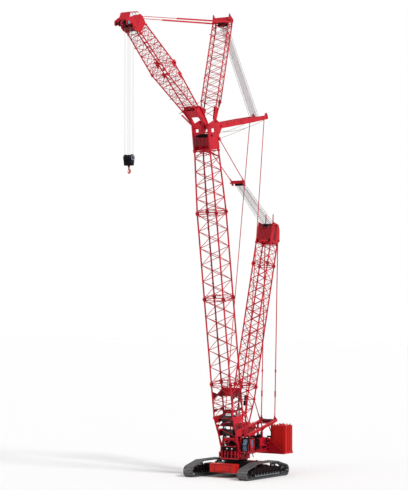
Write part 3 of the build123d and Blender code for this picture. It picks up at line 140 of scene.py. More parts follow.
class Finish(Number):
    # one material: its colour layers, roughness and bump all read Object coordinates
    def __init__(self, name, colour, metallic=0.0, specular=0.5):
        self.material = bpy.data.materials.new(name)
        self.material.use_nodes = True
        super().__init__(self.material.node_tree)
        self.shader = self.tree.nodes["Principled BSDF"]
        self.shader.inputs["Metallic"].default_value = metallic
        self.shader.inputs["Specular IOR Level"].default_value = specular
        self.place = self.node("ShaderNodeTexCoord", output="Object")
        self.colour = self.node("ShaderNodeRGB")
        self.colour.socket.default_value = (*colour, 1)

    def noise(self, scale, detail=4, stretch=(1, 1, 1), roughness=0.55):
        place = self.node("ShaderNodeMapping", inputs={"Scale": stretch, "Vector": self.place})
        inputs = {"Scale": scale, "Detail": detail, "Roughness": roughness, "Vector": place}
        return self.node("ShaderNodeTexNoise", inputs=inputs, output="Fac")

    def upward(self):
        # how far the surface faces the sky, where dust settles
        normal = self.node("ShaderNodeNewGeometry", output="Normal")
        return self.node("ShaderNodeSeparateXYZ", inputs={0: normal}, output="Z")

    def layer(self, colour, amount):
        inputs = {"Factor": amount, "A": self.colour, "B": (*colour, 1)}
        self.colour = self.node("ShaderNodeMix", {"data_type": "RGBA"}, inputs, "Result")

    def drive(self, label, value):
        self.tree.links.new(value.socket, self.shader.inputs[label])

    def rough(self, low, high, amount):
        self.drive("Roughness", low + (high - low) * amount)

    def bump(self, amount, strength, distance):
        inputs = {"Strength": strength, "Distance": distance, "Height": amount}
        self.drive("Normal", self.node("ShaderNodeBump", inputs=inputs, output="Normal"))

    def done(self):
        self.drive("Base Color", self.colour)
        return self.material


def paintedSteel(name, colour, shade, dust, grain=1.0, specular=0.22):
    # satin paint with darker blotches, faint run marks, settled dust and chips down to primer
    paint = Finish(name, colour, specular=specular)
    blotches = paint.noise(5 * grain, 5)
    runs = paint.noise(46 * grain, 3, (1, 1, 0.06))
    grit = paint.noise(210 * grain, 6)
    paint.layer(shade, blotches.between(0.42, 0.72) * 0.55)
    paint.layer([part * 0.55 for part in colour], runs.between(0.6, 0.78) * 0.35)
    paint.layer(dust, paint.upward().between(0.6, 1.0) * grit.between(0.4, 0.8) * 0.16)
    paint.layer((0.09, 0.035, 0.025), paint.noise(330 * grain, 2).between(0.73, 0.78) * 0.7)
    paint.rough(0.38, 0.6, grit)
    paint.bump(grit, 0.12, 0.0006)
    return paint.done()


def wornSteel(name, colour, rust, amount):
    steel = Finish(name, colour, metallic=0.55)
    patches = steel.noise(24, 7, roughness=0.65)
    scuffs = steel.noise(150, 4, (1, 1, 0.3))
    steel.layer([part * 0.45 for part in colour], scuffs.between(0.5, 0.75) * 0.6)
    steel.layer(rust, patches.between(0.62 - amount, 0.74 - amount) * 0.8)
    steel.layer((0.16, 0.13, 0.1), steel.noise(9, 5).between(0.5, 0.8) * 0.4)
    steel.rough(0.42, 0.75, patches)
    steel.bump(scuffs, 0.3, 0.0012)
    return steel.done()


def twistedWire(name, colour):
    wire = Finish(name, colour, metallic=0.6)
    strands = wire.noise(260, 2, (1, 1, 0.5))
    grease = wire.noise(11, 4, (1, 1, 0.3))
    wire.layer([part * 0.4 for part in colour], strands.between(0.4, 0.62) * 0.6)
    wire.layer((0.12, 0.11, 0.1), grease.between(0.55, 0.8) * 0.5)
    wire.rough(0.38, 0.62, strands)
    wire.bump(strands, 0.35, 0.0008)
    return wire.done()


def tintedGlass(name, colour):
    glass = Finish(name, colour, specular=0.5)
    smears = glass.noise(14, 5, (1, 1, 0.4))
    glass.layer([part * 1.7 for part in colour], smears.between(0.5, 0.85) * 0.35)
    glass.rough(0.04, 0.14, smears)
    glass.shader.inputs["Alpha"].default_value = 0.55
    return glass.done()


def rubberFinish(name, colour):
    rubber = Finish(name, colour)
    grain = rubber.noise(320, 4)
    rubber.layer([part * 2.2 + 0.01 for part in colour], rubber.noise(12, 4).between(0.5, 0.8) * 0.5)
    rubber.rough(0.6, 0.85, grain)
    rubber.bump(grain, 0.2, 0.0006)
    return rubber.done()


finishes = {
    "craneRed": paintedSteel("craneRed", (0.5, 0.006, 0.019), (0.26, 0.002, 0.009), (0.5, 0.05, 0.06)),
    "weightRed": paintedSteel("weightRed", (0.56, 0.012, 0.010), (0.38, 0.008, 0.008), (0.58, 0.14, 0.12)),
    "darkFrame": paintedSteel(
        "darkFrame", (0.006, 0.003, 0.0035), (0.012, 0.005, 0.006), (0.03, 0.022, 0.022), specular=0.05
    ),
    "blockBlack": paintedSteel(
        "blockBlack", (0.005, 0.003, 0.005), (0.012, 0.006, 0.009), (0.03, 0.026, 0.03), specular=0.06
    ),
    # deepRed is a darker copy of the crane red; on the butt's gussets, the mast head's panels, the jib head's
    # covers and the weight slots it is painted shade
    "deepRed": paintedSteel("deepRed", (0.14, 0.002, 0.006), (0.05, 0.001, 0.003), (0.18, 0.03, 0.035)),
    "drumSteel": wornSteel("drumSteel", (0.035, 0.03, 0.033), (0.14, 0.01, 0.012), 0.06),
    "hookOrange": paintedSteel("hookOrange", (0.5, 0.09, 0.025), (0.26, 0.05, 0.03), (0.5, 0.3, 0.22)),
    "trackSteel": wornSteel("trackSteel", (0.12, 0.13, 0.14), (0.16, 0.065, 0.03), 0.1),
    "rollerSteel": wornSteel("rollerSteel", (0.2, 0.21, 0.225), (0.14, 0.07, 0.035), 0.0),
    "ropeSteel": twistedWire("ropeSteel", (0.4, 0.38, 0.39)),
    "reevingSteel": twistedWire("reevingSteel", (0.2, 0.085, 0.11)),
    "cabGlass": tintedGlass("cabGlass", (0.09, 0.17, 0.28)),
    "hoseBlack": rubberFinish("hoseBlack", (0.012, 0.012, 0.013)),
    "sheaveBlue": paintedSteel("sheaveBlue", (0.035, 0.045, 0.10), (0.02, 0.025, 0.06), (0.16, 0.17, 0.2)),
    "discGrey": paintedSteel("discGrey", (0.17, 0.2, 0.27), (0.1, 0.12, 0.17), (0.3, 0.31, 0.34)),
    "seatGrey": rubberFinish("seatGrey", (0.05, 0.055, 0.07)),
    "lampWhite": paintedSteel("lampWhite", (0.82, 0.82, 0.8), (0.7, 0.7, 0.68), (0.6, 0.6, 0.58)),
    "creamHose": rubberFinish("creamHose", (0.6, 0.5, 0.36)),
}
finishOfSlot = {
    "crane_red": "craneRed",
    "weight_red": "weightRed",
    "dark_frame": "darkFrame",
    "track_steel": "trackSteel",
    "roller_steel": "rollerSteel",
    "rope_steel": "ropeSteel",
    "sheave_steel": "deepRed",
    "block_black": "blockBlack",
    "hook_orange": "hookOrange",
    "cab_glass": "cabGlass",
}
for part in frame["record"]["subparts"]:
    mesh = nodes[part["node"]].data
    mesh.materials.clear()
    mesh.materials.append(finishes[finishOfSlot[part["material_slot"]]])


def makeWorld():
    # soft white light, with pure white behind the crane
    world = bpy.data.worlds.new("paleStudio")
    bpy.context.scene.world = world
    world.use_nodes = True
    start = Number(world.node_tree)
    light = start.node(
        "ShaderNodeBackground", inputs={"Color": (1, 1, 1, 1), "Strength": lampSize["world"]}
    )
    shown = start.node("ShaderNodeBackground", inputs={"Color": (1, 1, 1, 1)})
    camera, glossy, through = [
        start.node("ShaderNodeLightPath", output=ray)
        for ray in ("Is Camera Ray", "Is Glossy Ray", "Is Transmission Ray")
    ]
    seen = camera.larger(glossy).larger(through)
    mixed = start.node("ShaderNodeMixShader", inputs={"Fac": seen, 1: light, 2: shown})
    surface = start.tree.nodes["World Output"].inputs["Surface"]
    start.tree.links.new(mixed.socket, surface)


def makeFloor(size):
    mesh = bpy.data.meshes.new("floor")
    half = size["half"]
    mesh.from_pydata(
        [(-half, -half, 0), (half, -half, 0), (half, half, 0), (-half, half, 0)], [], [(0, 1, 2, 3)]
    )
    floor = bpy.data.objects.new("floor", mesh)
    pale = bpy.data.materials.new("paleFloor")
    pale.use_nodes = True
    shader = pale.node_tree.nodes["Principled BSDF"]
    shader.inputs["Base Color"].default_value = size["colour"]
    shader.inputs["Roughness"].default_value = size["roughness"]
    mesh.materials.append(pale)
    bpy.context.scene.collection.objects.link(floor)


makeWorld()
makeFloor(floorSize)
print("camera, lamps, floor and", len(finishes), "finishes made")

# places on the crane's long members


def member(origin, lean):
    # x across, behind the member's axis, and along it, for a member that leans forward by lean degrees
    tilt = radians(lean)
    base = Vector(origin)
    behindWay = Vector((0, cos(tilt), sin(tilt)))
    alongWay = Vector((0, -sin(tilt), cos(tilt)))
    return lambda x, behind, along: base + Vector((x, 0, 0)) + behindWay * behind + alongWay * along


crane = {
    "boomLean": 8.31,
    "mastLean": -15.4,
    "mastFoot": (0, 0.015, 0.46),
    "jibLean": 51.9,
    "strutHead": (0, -0.325, 6.24),
    "rearTip": (0, 0.632, 4.984),
    "equalizer": (0, 0.03, 4.055),
    "gantryFront": (0, 0.098, 0.546),
    "gantryRear": (0, 0.852, 0.722),
}
boomFoot = Vector(joints["boom_luff"]["pos_m"])
jibPin = Vector(joints["jib_luff"]["pos_m"])
strutPin = Vector(joints["jib_strut_luff"]["pos_m"])
strutRun = Vector(crane["strutHead"]) - strutPin
onBoom = member(boomFoot, crane["boomLean"])
onMast = member(crane["mastFoot"], crane["mastLean"])
onJib = member(jibPin, crane["jibLean"])
onStrut = member(strutPin, -degrees(atan(strutRun.y / strutRun.z)))
strutLong = strutRun.length
boomTurn, mastTurn, jibTurn = [(radians(crane[lean]), 0, 0) for lean in ("boomLean", "mastLean", "jibLean")]

# Geometry Nodes trees


class Tree:
    # a geometry tree under construction; add() makes a node and links or sets its inputs
    def __init__(self, name, inputs):
        self.group = bpy.data.node_groups.new(name, "GeometryNodeTree")
        self.group.interface.new_socket("Geometry", in_out="INPUT", socket_type="NodeSocketGeometry")
        for label, kind in inputs:
            self.group.interface.new_socket(label, in_out="INPUT", socket_type="NodeSocket" + kind)
        self.group.interface.new_socket("Geometry", in_out="OUTPUT", socket_type="NodeSocketGeometry")
        self.start = self.group.nodes.new("NodeGroupInput")
        self.end = self.group.nodes.new("NodeGroupOutput")

    def add(self, kind, settings=None, **inputs):
        node = self.group.nodes.new(kind)
        for label, value in (settings or {}).items():
            setattr(node, label, value)
        for label, source in inputs.items():
            socket = node.inputs[label.replace("_", " ")]
            if isinstance(source, bpy.types.NodeSocket):
                self.group.links.new(source, socket)
            else:
                socket.default_value = source
        return node.outputs[0]

    def named(self, label, kind="FLOAT_VECTOR"):
        return self.add("GeometryNodeInputNamedAttribute", {"data_type": kind}, Name=label)

    def finish(self, geometry):
        real = self.add("GeometryNodeRealizeInstances", Geometry=geometry)
        painted = self.add(
            "GeometryNodeSetMaterial", Geometry=real, Material=self.start.outputs["Material"]
        )
        self.group.links.new(painted, self.end.inputs["Geometry"])
        return self.group


def makeRodTree():
    # every edge of the mesh becomes a round rod
    tree = Tree("roundRods", [("Radius", "Float"), ("Sides", "Int"), ("Material", "Material")])
    line = tree.add("GeometryNodeMeshToCurve", Mesh=tree.start.outputs["Geometry"])
    ring = tree.add(
        "GeometryNodeCurvePrimitiveCircle",
        Resolution=tree.start.outputs["Sides"],
        Radius=tree.start.outputs["Radius"],
    )
    rods = tree.add("GeometryNodeCurveToMesh", Curve=line, Profile_Curve=ring, Fill_Caps=True)
    return tree.finish(rods)


def makeCopyTree():
    # one shape is copied to every point, turned and sized by the point's own attributes
    tree = Tree("copiedShapes", [("Shape", "Object"), ("Material", "Material")])
    shape = tree.group.nodes.new("GeometryNodeObjectInfo")
    tree.group.links.new(tree.start.outputs["Shape"], shape.inputs["Object"])
    turn = tree.add("FunctionNodeEulerToRotation", Euler=tree.named("turn"))
    points = tree.add("GeometryNodeMeshToPoints", Mesh=tree.start.outputs["Geometry"])
    copies = tree.add(
        "GeometryNodeInstanceOnPoints",
        Points=points,
        Instance=shape.outputs["Geometry"],
        Rotation=turn,
        Scale=tree.named("size"),
    )
    return tree.finish(copies)


rodTree = makeRodTree()
copyTree = makeCopyTree()


def meshObject(name, points, edges=(), faces=()):
    mesh = bpy.data.meshes.new(name)
    mesh.from_pydata([tuple(point) for point in points], edges, faces)
    return bpy.data.objects.new(name, mesh)


def evaluatedMesh(source):
    # the source's mesh with its modifiers worked in; the source itself is used up
    bpy.context.view_layer.update()
    made = bpy.data.meshes.new_from_object(source.evaluated_get(bpy.context.evaluated_depsgraph_get()))
    source.modifiers.clear()
    bpy.data.objects.remove(source)
    return made


def grown(source, tree, values):
    # runs a tree on the source object and returns the result as a plain mesh object
    name = source.name
    bpy.context.scene.collection.objects.link(source)
    modifier = source.modifiers.new("shape", "NODES")
    modifier.node_group = tree
    sockets = {item.name: item.identifier for item in tree.interface.items_tree if item.in_out == "INPUT"}
    for label, value in values.items():
        modifier[sockets[label]] = value
    piece = bpy.data.objects.new(name, evaluatedMesh(source))
    bpy.context.scene.collection.objects.link(piece)
    return piece


def carried(piece, body, replacing=()):
    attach(piece, body)
    if replacing:
        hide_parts(*replacing)
    return piece


def rods(name, lines, radius, finish, sides=8, body=None):
    # lines is a list of routes, each a list of points
    points, edges = [], []
    for route in lines:
        base = len(points)
        points += route
        edges += [(base + step, base + step + 1) for step in range(len(route) - 1)]
    values = {"Radius": radius, "Sides": sides, "Material": finishes[finish]}
    piece = grown(meshObject(name, points, edges), rodTree, values)
    return carried(piece, body) if body else piece


def copies(name, shape, points, finish, body, turn=(0, 0, 0), size=1, replacing=()):
    # turn and size are one value for every point, or a list with one for each
    source = meshObject(name, points)
    for label, value in (("turn", turn), ("size", size)):
        rows = source.data.attributes.new(label, "FLOAT_VECTOR", "POINT")
        values = value if isinstance(value, list) else [value] * len(points)
        for row, own in zip(rows.data, values):
            row.vector = own if isinstance(own, tuple) else (own,) * 3
    bpy.context.scene.collection.objects.link(shape)
    piece = grown(source, copyTree, {"Shape": shape, "Material": finishes[finish]})
    bpy.data.objects.remove(shape)
    return carried(piece, body, replacing)


def lathe(name, profile, steps, closed=False):
    # profile is (x, radius) pairs, spun round the X axis
    points = []
    for turn in turns(steps):
        points += [(x, reach * cos(turn), reach * sin(turn)) for x, reach in profile]
    count = len(profile)
    faces = []
    for step in range(steps):
        here, there = step * count, (step + 1) % steps * count
        for row in range(count if closed else count - 1):
            after = (row + 1) % count
            faces.append((here + row, here + after, there + after, there + row))
    shape = meshObject(name, points, faces=faces)
    tidyNormals(shape)
    return shape


def tidyNormals(shape):
    work = bmesh.new()
    work.from_mesh(shape.data)
    bmesh.ops.remove_doubles(work, verts=work.verts, dist=1e-6)
    bmesh.ops.recalc_face_normals(work, faces=work.faces)
    work.to_mesh(shape.data)
    work.free()


# plates, boxes and round bars welded into one piece
weldSize = {"sharpEdge": 50}


class Weldment:
    # points are plain numbers in the member's own directions, or vectors already placed
    def __init__(self, place=lambda x, y, z: Vector((x, y, z))):
        self.work = bmesh.new()
        self.place = place

    def at(self, point):
        return point if isinstance(point, Vector) else self.place(*point)

    def cube(self, centre, turn, size):
        for corner in bmesh.ops.create_cube(self.work, size=1)["verts"]:
            corner.co = centre + turn @ Vector([part * full for part, full in zip(corner.co, size)])

    def box(self, centre, size, lean=0):
        self.cube(self.at(centre), Matrix.Rotation(radians(lean), 3, "X"), size)

    def bar(self, start, end, wide, deep):
        # flat bar, wide across the crane
        start, end = self.at(start), self.at(end)
        run = end - start
        across = (Vector((1, 0, 0)) - run * (run.x / run.length_squared)).normalized()
        turn = Matrix((across, run.cross(across).normalized(), run.normalized())).transposed()
        self.cube((start + end) / 2, turn, (wide, deep, run.length))

    def beam(self, half, y, z, wide, deep):
        # flat bar right across the crane
        self.bar((-half, y, z), (half, y, z), wide, deep)

    def rod(self, start, end, radius, sides=12):
        start, end = self.at(start), self.at(end)
        run = end - start
        size = {"segments": sides, "radius1": radius, "radius2": radius, "depth": run.length}
        made = bmesh.ops.create_cone(self.work, cap_ends=True, **size)["verts"]
        turn = run.to_track_quat("Z", "Y").to_matrix()
        for corner in made:
            corner.co = (start + end) / 2 + turn @ corner.co

    def axle(self, low, high, y, z, radius, sides=12):
        # round bar across the crane, from x = low to x = high
        self.rod((low, y, z), (high, y, z), radius, sides)

    def slab(self, outline, thick):
        # thick is a vector, or a number that counts backwards from the member's front
        if isinstance(thick, float):
            thick = self.place(0, thick, 0) - self.place(0, 0, 0)
        outline = [self.at(point) for point in outline]
        near = [self.work.verts.new(point) for point in outline]
        far = [self.work.verts.new(point + Vector(thick)) for point in outline]
        made = [self.work.faces.new(near), self.work.faces.new(far[::-1])]
        for step in range(len(outline)):
            made.append(self.work.faces.new((near[step - 1], far[step - 1], far[step], near[step])))
        bmesh.ops.recalc_face_normals(self.work, faces=made)

    def panel(self, half, first, last, thick):
        # a slab right across the crane, between two lines given by (y, z)
        self.slab([(-half, *first), (half, *first), (half, *last), (-half, *last)], thick)

    def plate(self, outline, x, thick):
        # a plate that faces sideways, centred on x
        points = [self.at(point) for point in outline]
        self.slab([Vector((x - thick / 2, point.y, point.z)) for point in points], (thick, 0, 0))

    def shape(self, name):
        mesh = bpy.data.meshes.new(name)
        self.work.to_mesh(mesh)
        self.work.free()
        return bpy.data.objects.new(name, mesh)

    def piece(self, name, body, finish, bevel=0.0012, replacing=()):
        source = self.shape(name)
        bpy.context.scene.collection.objects.link(source)
        softened = source.modifiers.new("edges", "BEVEL")
        softened.width = bevel
        softened.segments = 1
        softened.limit_method = "ANGLE"
        softened.angle_limit = radians(weldSize["sharpEdge"])
        made = bpy.data.objects.new(name, evaluatedMesh(source))
        made.data.materials.append(finishes[finish])
        bpy.context.scene.collection.objects.link(made)
        return carried(made, body, replacing)


def mirrored(*values):
    return [side * value for side in (-1, 1) for value in values]


def spread(low, high, count):
    return [low + (high - low) * step / (count - 1) for step in range(count)]


def turns(count):
    return [2 * pi * step / count for step in range(count)]


# crawlers
crawlerSize = {
    "centreX": 0.442,
    "shoeWidth": 0.152,
    "shoes": 58,
    "tumblerY": 0.455,
    "endRadius": 0.08,
    "crownY": 0.232,
    "crownZ": 0.175,
    "crownRadius": 0.045,
    "rollers": 13,
    "rollerPitch": 0.054,
    "rollerZ": 0.0453,
}


def trackRoute(size):
    # outer line of the track: back along the ground, up over the crowns and down again
    hubs = [
        (-size["tumblerY"], size["endRadius"], size["endRadius"]),
        (-size["crownY"], size["crownZ"], size["crownRadius"]),
        (size["crownY"], size["crownZ"], size["crownRadius"]),
        (size["tumblerY"], size["endRadius"], size["endRadius"]),
    ]
    facing = []
    for here, there in zip(hubs, hubs[1:] + hubs[:1]):
        way = Vector((there[0] - here[0], there[1] - here[1]))
        facing.append(atan2(way.y, way.x) + acos((here[2] - there[2]) / way.length))
    points = []
    for index, (y, z, radius) in enumerate(hubs):
        first, last = facing[index - 1], facing[index]
        while last > first:
            last -= 2 * pi
        steps = 14 if radius > 0.06 else 5
        for step in range(steps + 1):
            turn = first + (last - first) * step / steps
            points.append(Vector((0, y + radius * cos(turn), z + radius * sin(turn))))
    return points


def makeShoeTree():
    # shoes follow the closed route, each turned with it
    tree = Tree("trackShoes", [("Shape", "Object"), ("Shoes", "Int"), ("Material", "Material")])
    shape = tree.group.nodes.new("GeometryNodeObjectInfo")
    tree.group.links.new(tree.start.outputs["Shape"], shape.inputs["Object"])
    line = tree.add("GeometryNodeMeshToCurve", Mesh=tree.start.outputs["Geometry"])
    spaced = tree.add("GeometryNodeResampleCurve", Curve=line, Count=tree.start.outputs["Shoes"])
    way = tree.add("GeometryNodeInputTangent")
    turn = tree.add("FunctionNodeAlignRotationToVector", {"axis": "Y", "pivot_axis": "X"}, Vector=way)
    shoes = tree.add(
        "GeometryNodeInstanceOnPoints", Points=spaced, Instance=shape.outputs["Geometry"], Rotation=turn
    )
    return tree.finish(shoes)


def shoeShape(size):
    half = size["shoeWidth"] / 2
    shoe = Weldment()
    shoe.box((0, 0, -0.0045), (half * 2, 0.0345, 0.007))
    shoe.box((0, -0.0125, -0.0012), (half * 1.9, 0.0055, 0.0022))
    shoe.box((0, 0.0125, -0.0012), (half * 1.9, 0.0055, 0.0022))
    for x in mirrored(0.68):
        shoe.box((half * x, 0, -0.0019), (0.013, 0.026, 0.0036))
    for x in mirrored(0.026):
        shoe.box((x, 0, -0.0145), (0.011, 0.036, 0.018))
    for x in mirrored(0.9):
        shoe.box((half * x, 0.002, -0.011), (0.012, 0.024, 0.009))
    return shoe.shape("shoeShape")


def makeTracks(size):
    tree = makeShoeTree()
    route = trackRoute(size)
    for side, node in ((1, "left_track"), (-1, "right_track")):
        points = [point + Vector((side * size["centreX"], 0, 0)) for point in route]
        edges = [(step, (step + 1) % len(points)) for step in range(len(points))]
        shape = shoeShape(size)
        bpy.context.scene.collection.objects.link(shape)
        source = meshObject(node + "_shoes", points, edges)
        shoes = grown(
            source, tree, {"Shape": shape, "Shoes": size["shoes"], "Material": finishes["trackSteel"]}
        )
        bpy.data.objects.remove(shape)
        carried(shoes, "carbody", [node])


def rollerShape(radius, width, flange, hub):
    half = width / 2
    outline = [
        (-half, hub),
        (-half, radius),
        (-half * 0.78, radius),
        (-half * 0.7, radius - flange),
        (half * 0.7, radius - flange),
        (half * 0.78, radius),
        (half, radius),
        (half, hub),
        (half * 1.25, hub),
        (half * 1.25, 0.0005),
        (-half * 1.25, 0.0005),
        (-half * 1.25, hub),
    ]
    return lathe("rollerShape", outline, 20, closed=True)


def tumblerShape(radius):
    # toothed drive wheel: rim, dished web with holes' ribs and hub
    wheel = Weldment()
    teeth = 13
    for turn in turns(teeth):
        reach = radius - 0.006
        wheel.box((0, reach * cos(turn), reach * sin(turn)), (0.038, 0.011, 0.011), degrees(turn))
    wheel.axle(-0.019, 0.019, 0, 0, radius - 0.008, 36)
    wheel.axle(-0.022, 0.022, 0, 0, radius * 0.62, 28)
    wheel.axle(-0.034, 0.034, 0, 0, 0.017, 20)
    return wheel.shape("tumblerShape")


def makeRollers(size):
    reach = size["rollerPitch"] * (size["rollers"] - 1) / 2
    for side, node in ((1, "left_rollers"), (-1, "right_rollers")):
        x = side * size["centreX"]
        lower = [(x, y, size["rollerZ"]) for y in spread(-reach, reach, size["rollers"])]
        upper = [(x, y, size["crownZ"]) for y in mirrored(size["crownY"])]
        ends = [(x, y, size["endRadius"]) for y in mirrored(size["tumblerY"])]
        full = [1] * len(lower) + [0.97] * len(upper)
        wheel = rollerShape(0.02, 0.044, 0.003, 0.008)
        copies(
            node + "_wheels", wheel, lower + upper, "rollerSteel", "carbody", size=full, replacing=[node]
        )
        copies(node + "_tumblers", tumblerShape(0.0545), ends, "rollerSteel", "carbody")


def makeCrawlerFrames(size):
    # side frames: ribs, bolted covers, track adjusters and steps on the outer face
    for side, name in ((1, "left"), (-1, "right")):
        x = side * size["centreX"]
        frameWork = Weldment()
        for y in spread(-0.31, 0.31, 9):
            for face in (-1, 1):
                frameWork.box((x + face * 0.0465, y, 0.105), (0.006, 0.007, 0.066))
        for face in (-1, 1):
            frameWork.box((x + face * 0.047, 0, 0.072), (0.007, 0.7, 0.008))
            frameWork.box((x + face * 0.047, 0, 0.14), (0.007, 0.5, 0.008))
        for end in (-1, 1):
            frameWork.axle(x - 0.05, x + 0.05, end * size["tumblerY"], size["endRadius"], 0.019, 20)
            frameWork.axle(x + side * 0.048, x + side * 0.055, end * 0.36, 0.1, 0.02, 20)
            frameWork.box((x, end * 0.375, 0.105), (0.07, 0.03, 0.05))
        frameWork.box((x, 0, 0.155), (0.1, 0.16, 0.008))
        guard = Weldment()
        guard.box((x + side * 0.0545, 0.01, 0.045), (0.004, 0.62, 0.012))
        for y in spread(-0.28, 0.3, 9):
            guard.box((x + side * 0.0545, y, 0.06), (0.004, 0.012, 0.022))
        guard.piece(name + "_roller_guard", "carbody", "rollerSteel", 0.0008)
        frameWork.piece(name + "_frame_ribs", "carbody", "darkFrame")
        bolts = [
            (
                x + side * 0.0555, y + 0.014 * cos(turn), 0.1 + 0.014 * sin(turn)
            ) for y in mirrored(0.36) for turn in turns(8)
        ]
        copies(name + "_frame_bolts", boltShape(0.0022), bolts, "trackSteel", "carbody", (0, pi / 2, 0))


def boltShape(radius):
    bolt = Weldment()
    bolt.rod((0, 0, 0), (0, 0, radius * 1.3), radius, 6)
    bolt.rod((0, 0, -radius * 0.2), (0, 0, radius * 0.3), radius * 1.5, 10)
    return bolt.shape("boltShape")


makeTracks(crawlerSize)
makeRollers(crawlerSize)
makeCrawlerFrames(crawlerSize)
print("crawlers made")

# sheaves: each CAD set is shown as grooved wheels on its axle
sheaveSets = {
    "gantry_sheaves": {
        "body": "upperworks", "radius": 0.026, "width": 0.012,
        "places": (-0.066, -0.042, -0.018, 0.018, 0.042, 0.066),
    },
    "mast_sheaves": {
        "body": "upperworks", "radius": 0.030, "width": 0.014,
        "places": (-0.086, -0.062, -0.038, -0.014, 0.014, 0.038, 0.062, 0.086),
    },
    "boom_head_sheaves": {
        "body": "boom", "radius": 0.030, "width": 0.016, "places": (-0.06, -0.02, 0.02, 0.06)
    },
    "rear_strut_sheaves": {
        "body": "boom", "radius": 0.027, "width": 0.012,
        "places": (-0.056, -0.034, -0.012, 0.012, 0.034, 0.056),
    },
    "hoist_sheaves": {"body": "tip_sheaves", "radius": 0.030, "width": 0.014, "places": (-0.04, 0.04)},
    "jib_guide_sheaves": {"body": "jib", "radius": 0.040, "width": 0.014, "places": (-0.035, 0.035)},
}


def sheaveShape(radius, width):
    # rim with a rope groove, thin web and hub
    half = width / 2
    outline = [
        (-half, radius * 0.86),
        (-half, radius),
        (-half * 0.72, radius),
        (-half * 0.3, radius * 0.9),
        (half * 0.3, radius * 0.9),
        (half * 0.72, radius),
        (half, radius),
        (half, radius * 0.86),
        (half * 0.3, radius * 0.82),
        (half * 0.3, radius * 0.45),
        (half * 0.95, radius * 0.4),
        (half * 0.95, 0.0085),
        (-half * 0.95, 0.0085),
        (-half * 0.95, radius * 0.4),
        (-half * 0.3, radius * 0.45),
        (-half * 0.3, radius * 0.82),
    ]
    return lathe("sheaveShape", outline, 28, closed=True)


def makeSheaves(node, size):
    low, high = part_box(node)
    centre = (low + high) / 2
    points = [(x, centre.y, centre.z) for x in size["places"]]
    copies(
        node + "_wheels",
        sheaveShape(size["radius"], size["width"]),
        points,
        "deepRed",
        size["body"],
        replacing=[node],
    )
    axle = [(x, centre.y, centre.z) for x in (low.x, high.x)]
    rods(node + "_axle", [axle], 0.008, "blockBlack", 16, size["body"])
    return centre


sheaveCentre = {node: makeSheaves(node, size) for node, size in sheaveSets.items()}
print("sheaves made")

# ropes
ropeSize = {"boomHoist": 0.0021, "luffing": 0.0024, "hoist": 0.0019}


def ropeBundle(name, lines, radius, finish):
    piece = rods(name, lines, radius, finish, 6)
    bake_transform(piece)
    return piece


def reeving(name, upper, lower, ends, spans, radius):
    # two ropes for each sheave; ends are the x places above and below, spans the sheaves' radii
    way = (lower - upper).normalized()
    side = Vector((0, way.z, -way.y))
    lines = []
    for topX, lowX in ends:
        for edge in (-1, 1):
            top = Vector((topX, upper.y, upper.z)) + side * spans[0] * edge
            lines.append([top, Vector((lowX, lower.y, lower.z)) + side * spans[1] * edge])
    ropeBundle(name, lines, radius, "reevingSteel")


def makeBoomHoist():
    # reeving between the equalizer on the boom stays and the mast head
    upper = Vector(crane["equalizer"]) + Vector((0, 0.03, -0.044))
    ends = [(x * 0.72 + 0.02, x) for x in sheaveSets["mast_sheaves"]["places"]]
    lower = sheaveCentre["mast_sheaves"]
    reeving(
        "boomHoistRopes", upper, lower, ends, (0.02, 0.027), ropeSize["boomHoist"]
    )


def makeLuffingRopes():
    # reeving between the front strut's head and the rear strut's sheaves
    upper = onStrut(0, 0.02, strutLong - 0.06)
    ends = [(x * 0.9, x) for x in sheaveSets["rear_strut_sheaves"]["places"]]
    lower = sheaveCentre["rear_strut_sheaves"]
    reeving("luffingRopes", upper, lower, ends, (0.022, 0.0245), ropeSize["luffing"])


def makeHoistFalls():
    low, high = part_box("hoist_lines")
    middle = (low.y + high.y) / 2
    lines = []
    for x in sheaveSets["hoist_sheaves"]["places"]:
        lines += [[(x, y, high.z), (x, y, low.z)] for y in (middle - 0.0323, middle + 0.0323)]
    piece = ropeBundle(
        "hoistFalls", lines, ropeSize["hoist"], "ropeSteel"
    )
    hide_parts("hoist_lines")


makeBoomHoist()
makeLuffingRopes()
makeHoistFalls()
print("ropes made")

# shapes along a route with a changing thickness
def taperedRun(name, centres, radii, sides=14):
    points, faces = [], []
    for index, centre in enumerate(centres):
        before, after = centres[max(index - 1, 0)], centres[min(index + 1, len(centres) - 1)]
        way = (Vector(after) - Vector(before)).normalized()
        across = Vector((1, 0, 0))
        rise = way.cross(across).normalized()
        for turn in turns(sides):
            points.append(Vector(centre) + (across * cos(turn) + rise * sin(turn)) * radii[index])
    for ring in range(len(centres) - 1):
        for step in range(sides):
            after = (step + 1) % sides
            near, far = ring * sides, (ring + 1) * sides
            faces.append((near + step, near + after, far + after, far + step))
    faces += [tuple(range(sides)), tuple(range((len(centres) - 1) * sides, len(centres) * sides))]
    shape = meshObject(name, points, faces=faces)
    tidyNormals(shape)
    return shape


def rounded(shape, body, finish, replacing=()):
    # a smooth-shaded mesh object, painted and carried by its body
    shape.data.materials.append(finishes[finish])
    for face in shape.data.polygons:
        face.use_smooth = len(face.vertices) == 4
    bpy.context.scene.collection.objects.link(shape)
    return carried(shape, body, replacing)


def pinShape(radius, length):
    # headed pin with a split end, lying along X
    pin = Weldment()
    pin.axle(-length / 2, length / 2, 0, 0, radius, 12)
    for side in (-1, 1):
        pin.axle(side * length / 2, side * (length / 2 + 0.003), 0, 0, radius * 1.45, 12)
        pin.axle(side * length / 2, side * (length / 2 + 0.0045), 0, 0, radius * 0.5, 8)
    return pin.shape("pinShape")


# base of the upperworks: front arch, lamps, pipes, brackets and steps
baseSize = {"front": -0.192, "lampX": (-0.02, 0.06), "lampZ": 0.388, "lugX": 0.168}


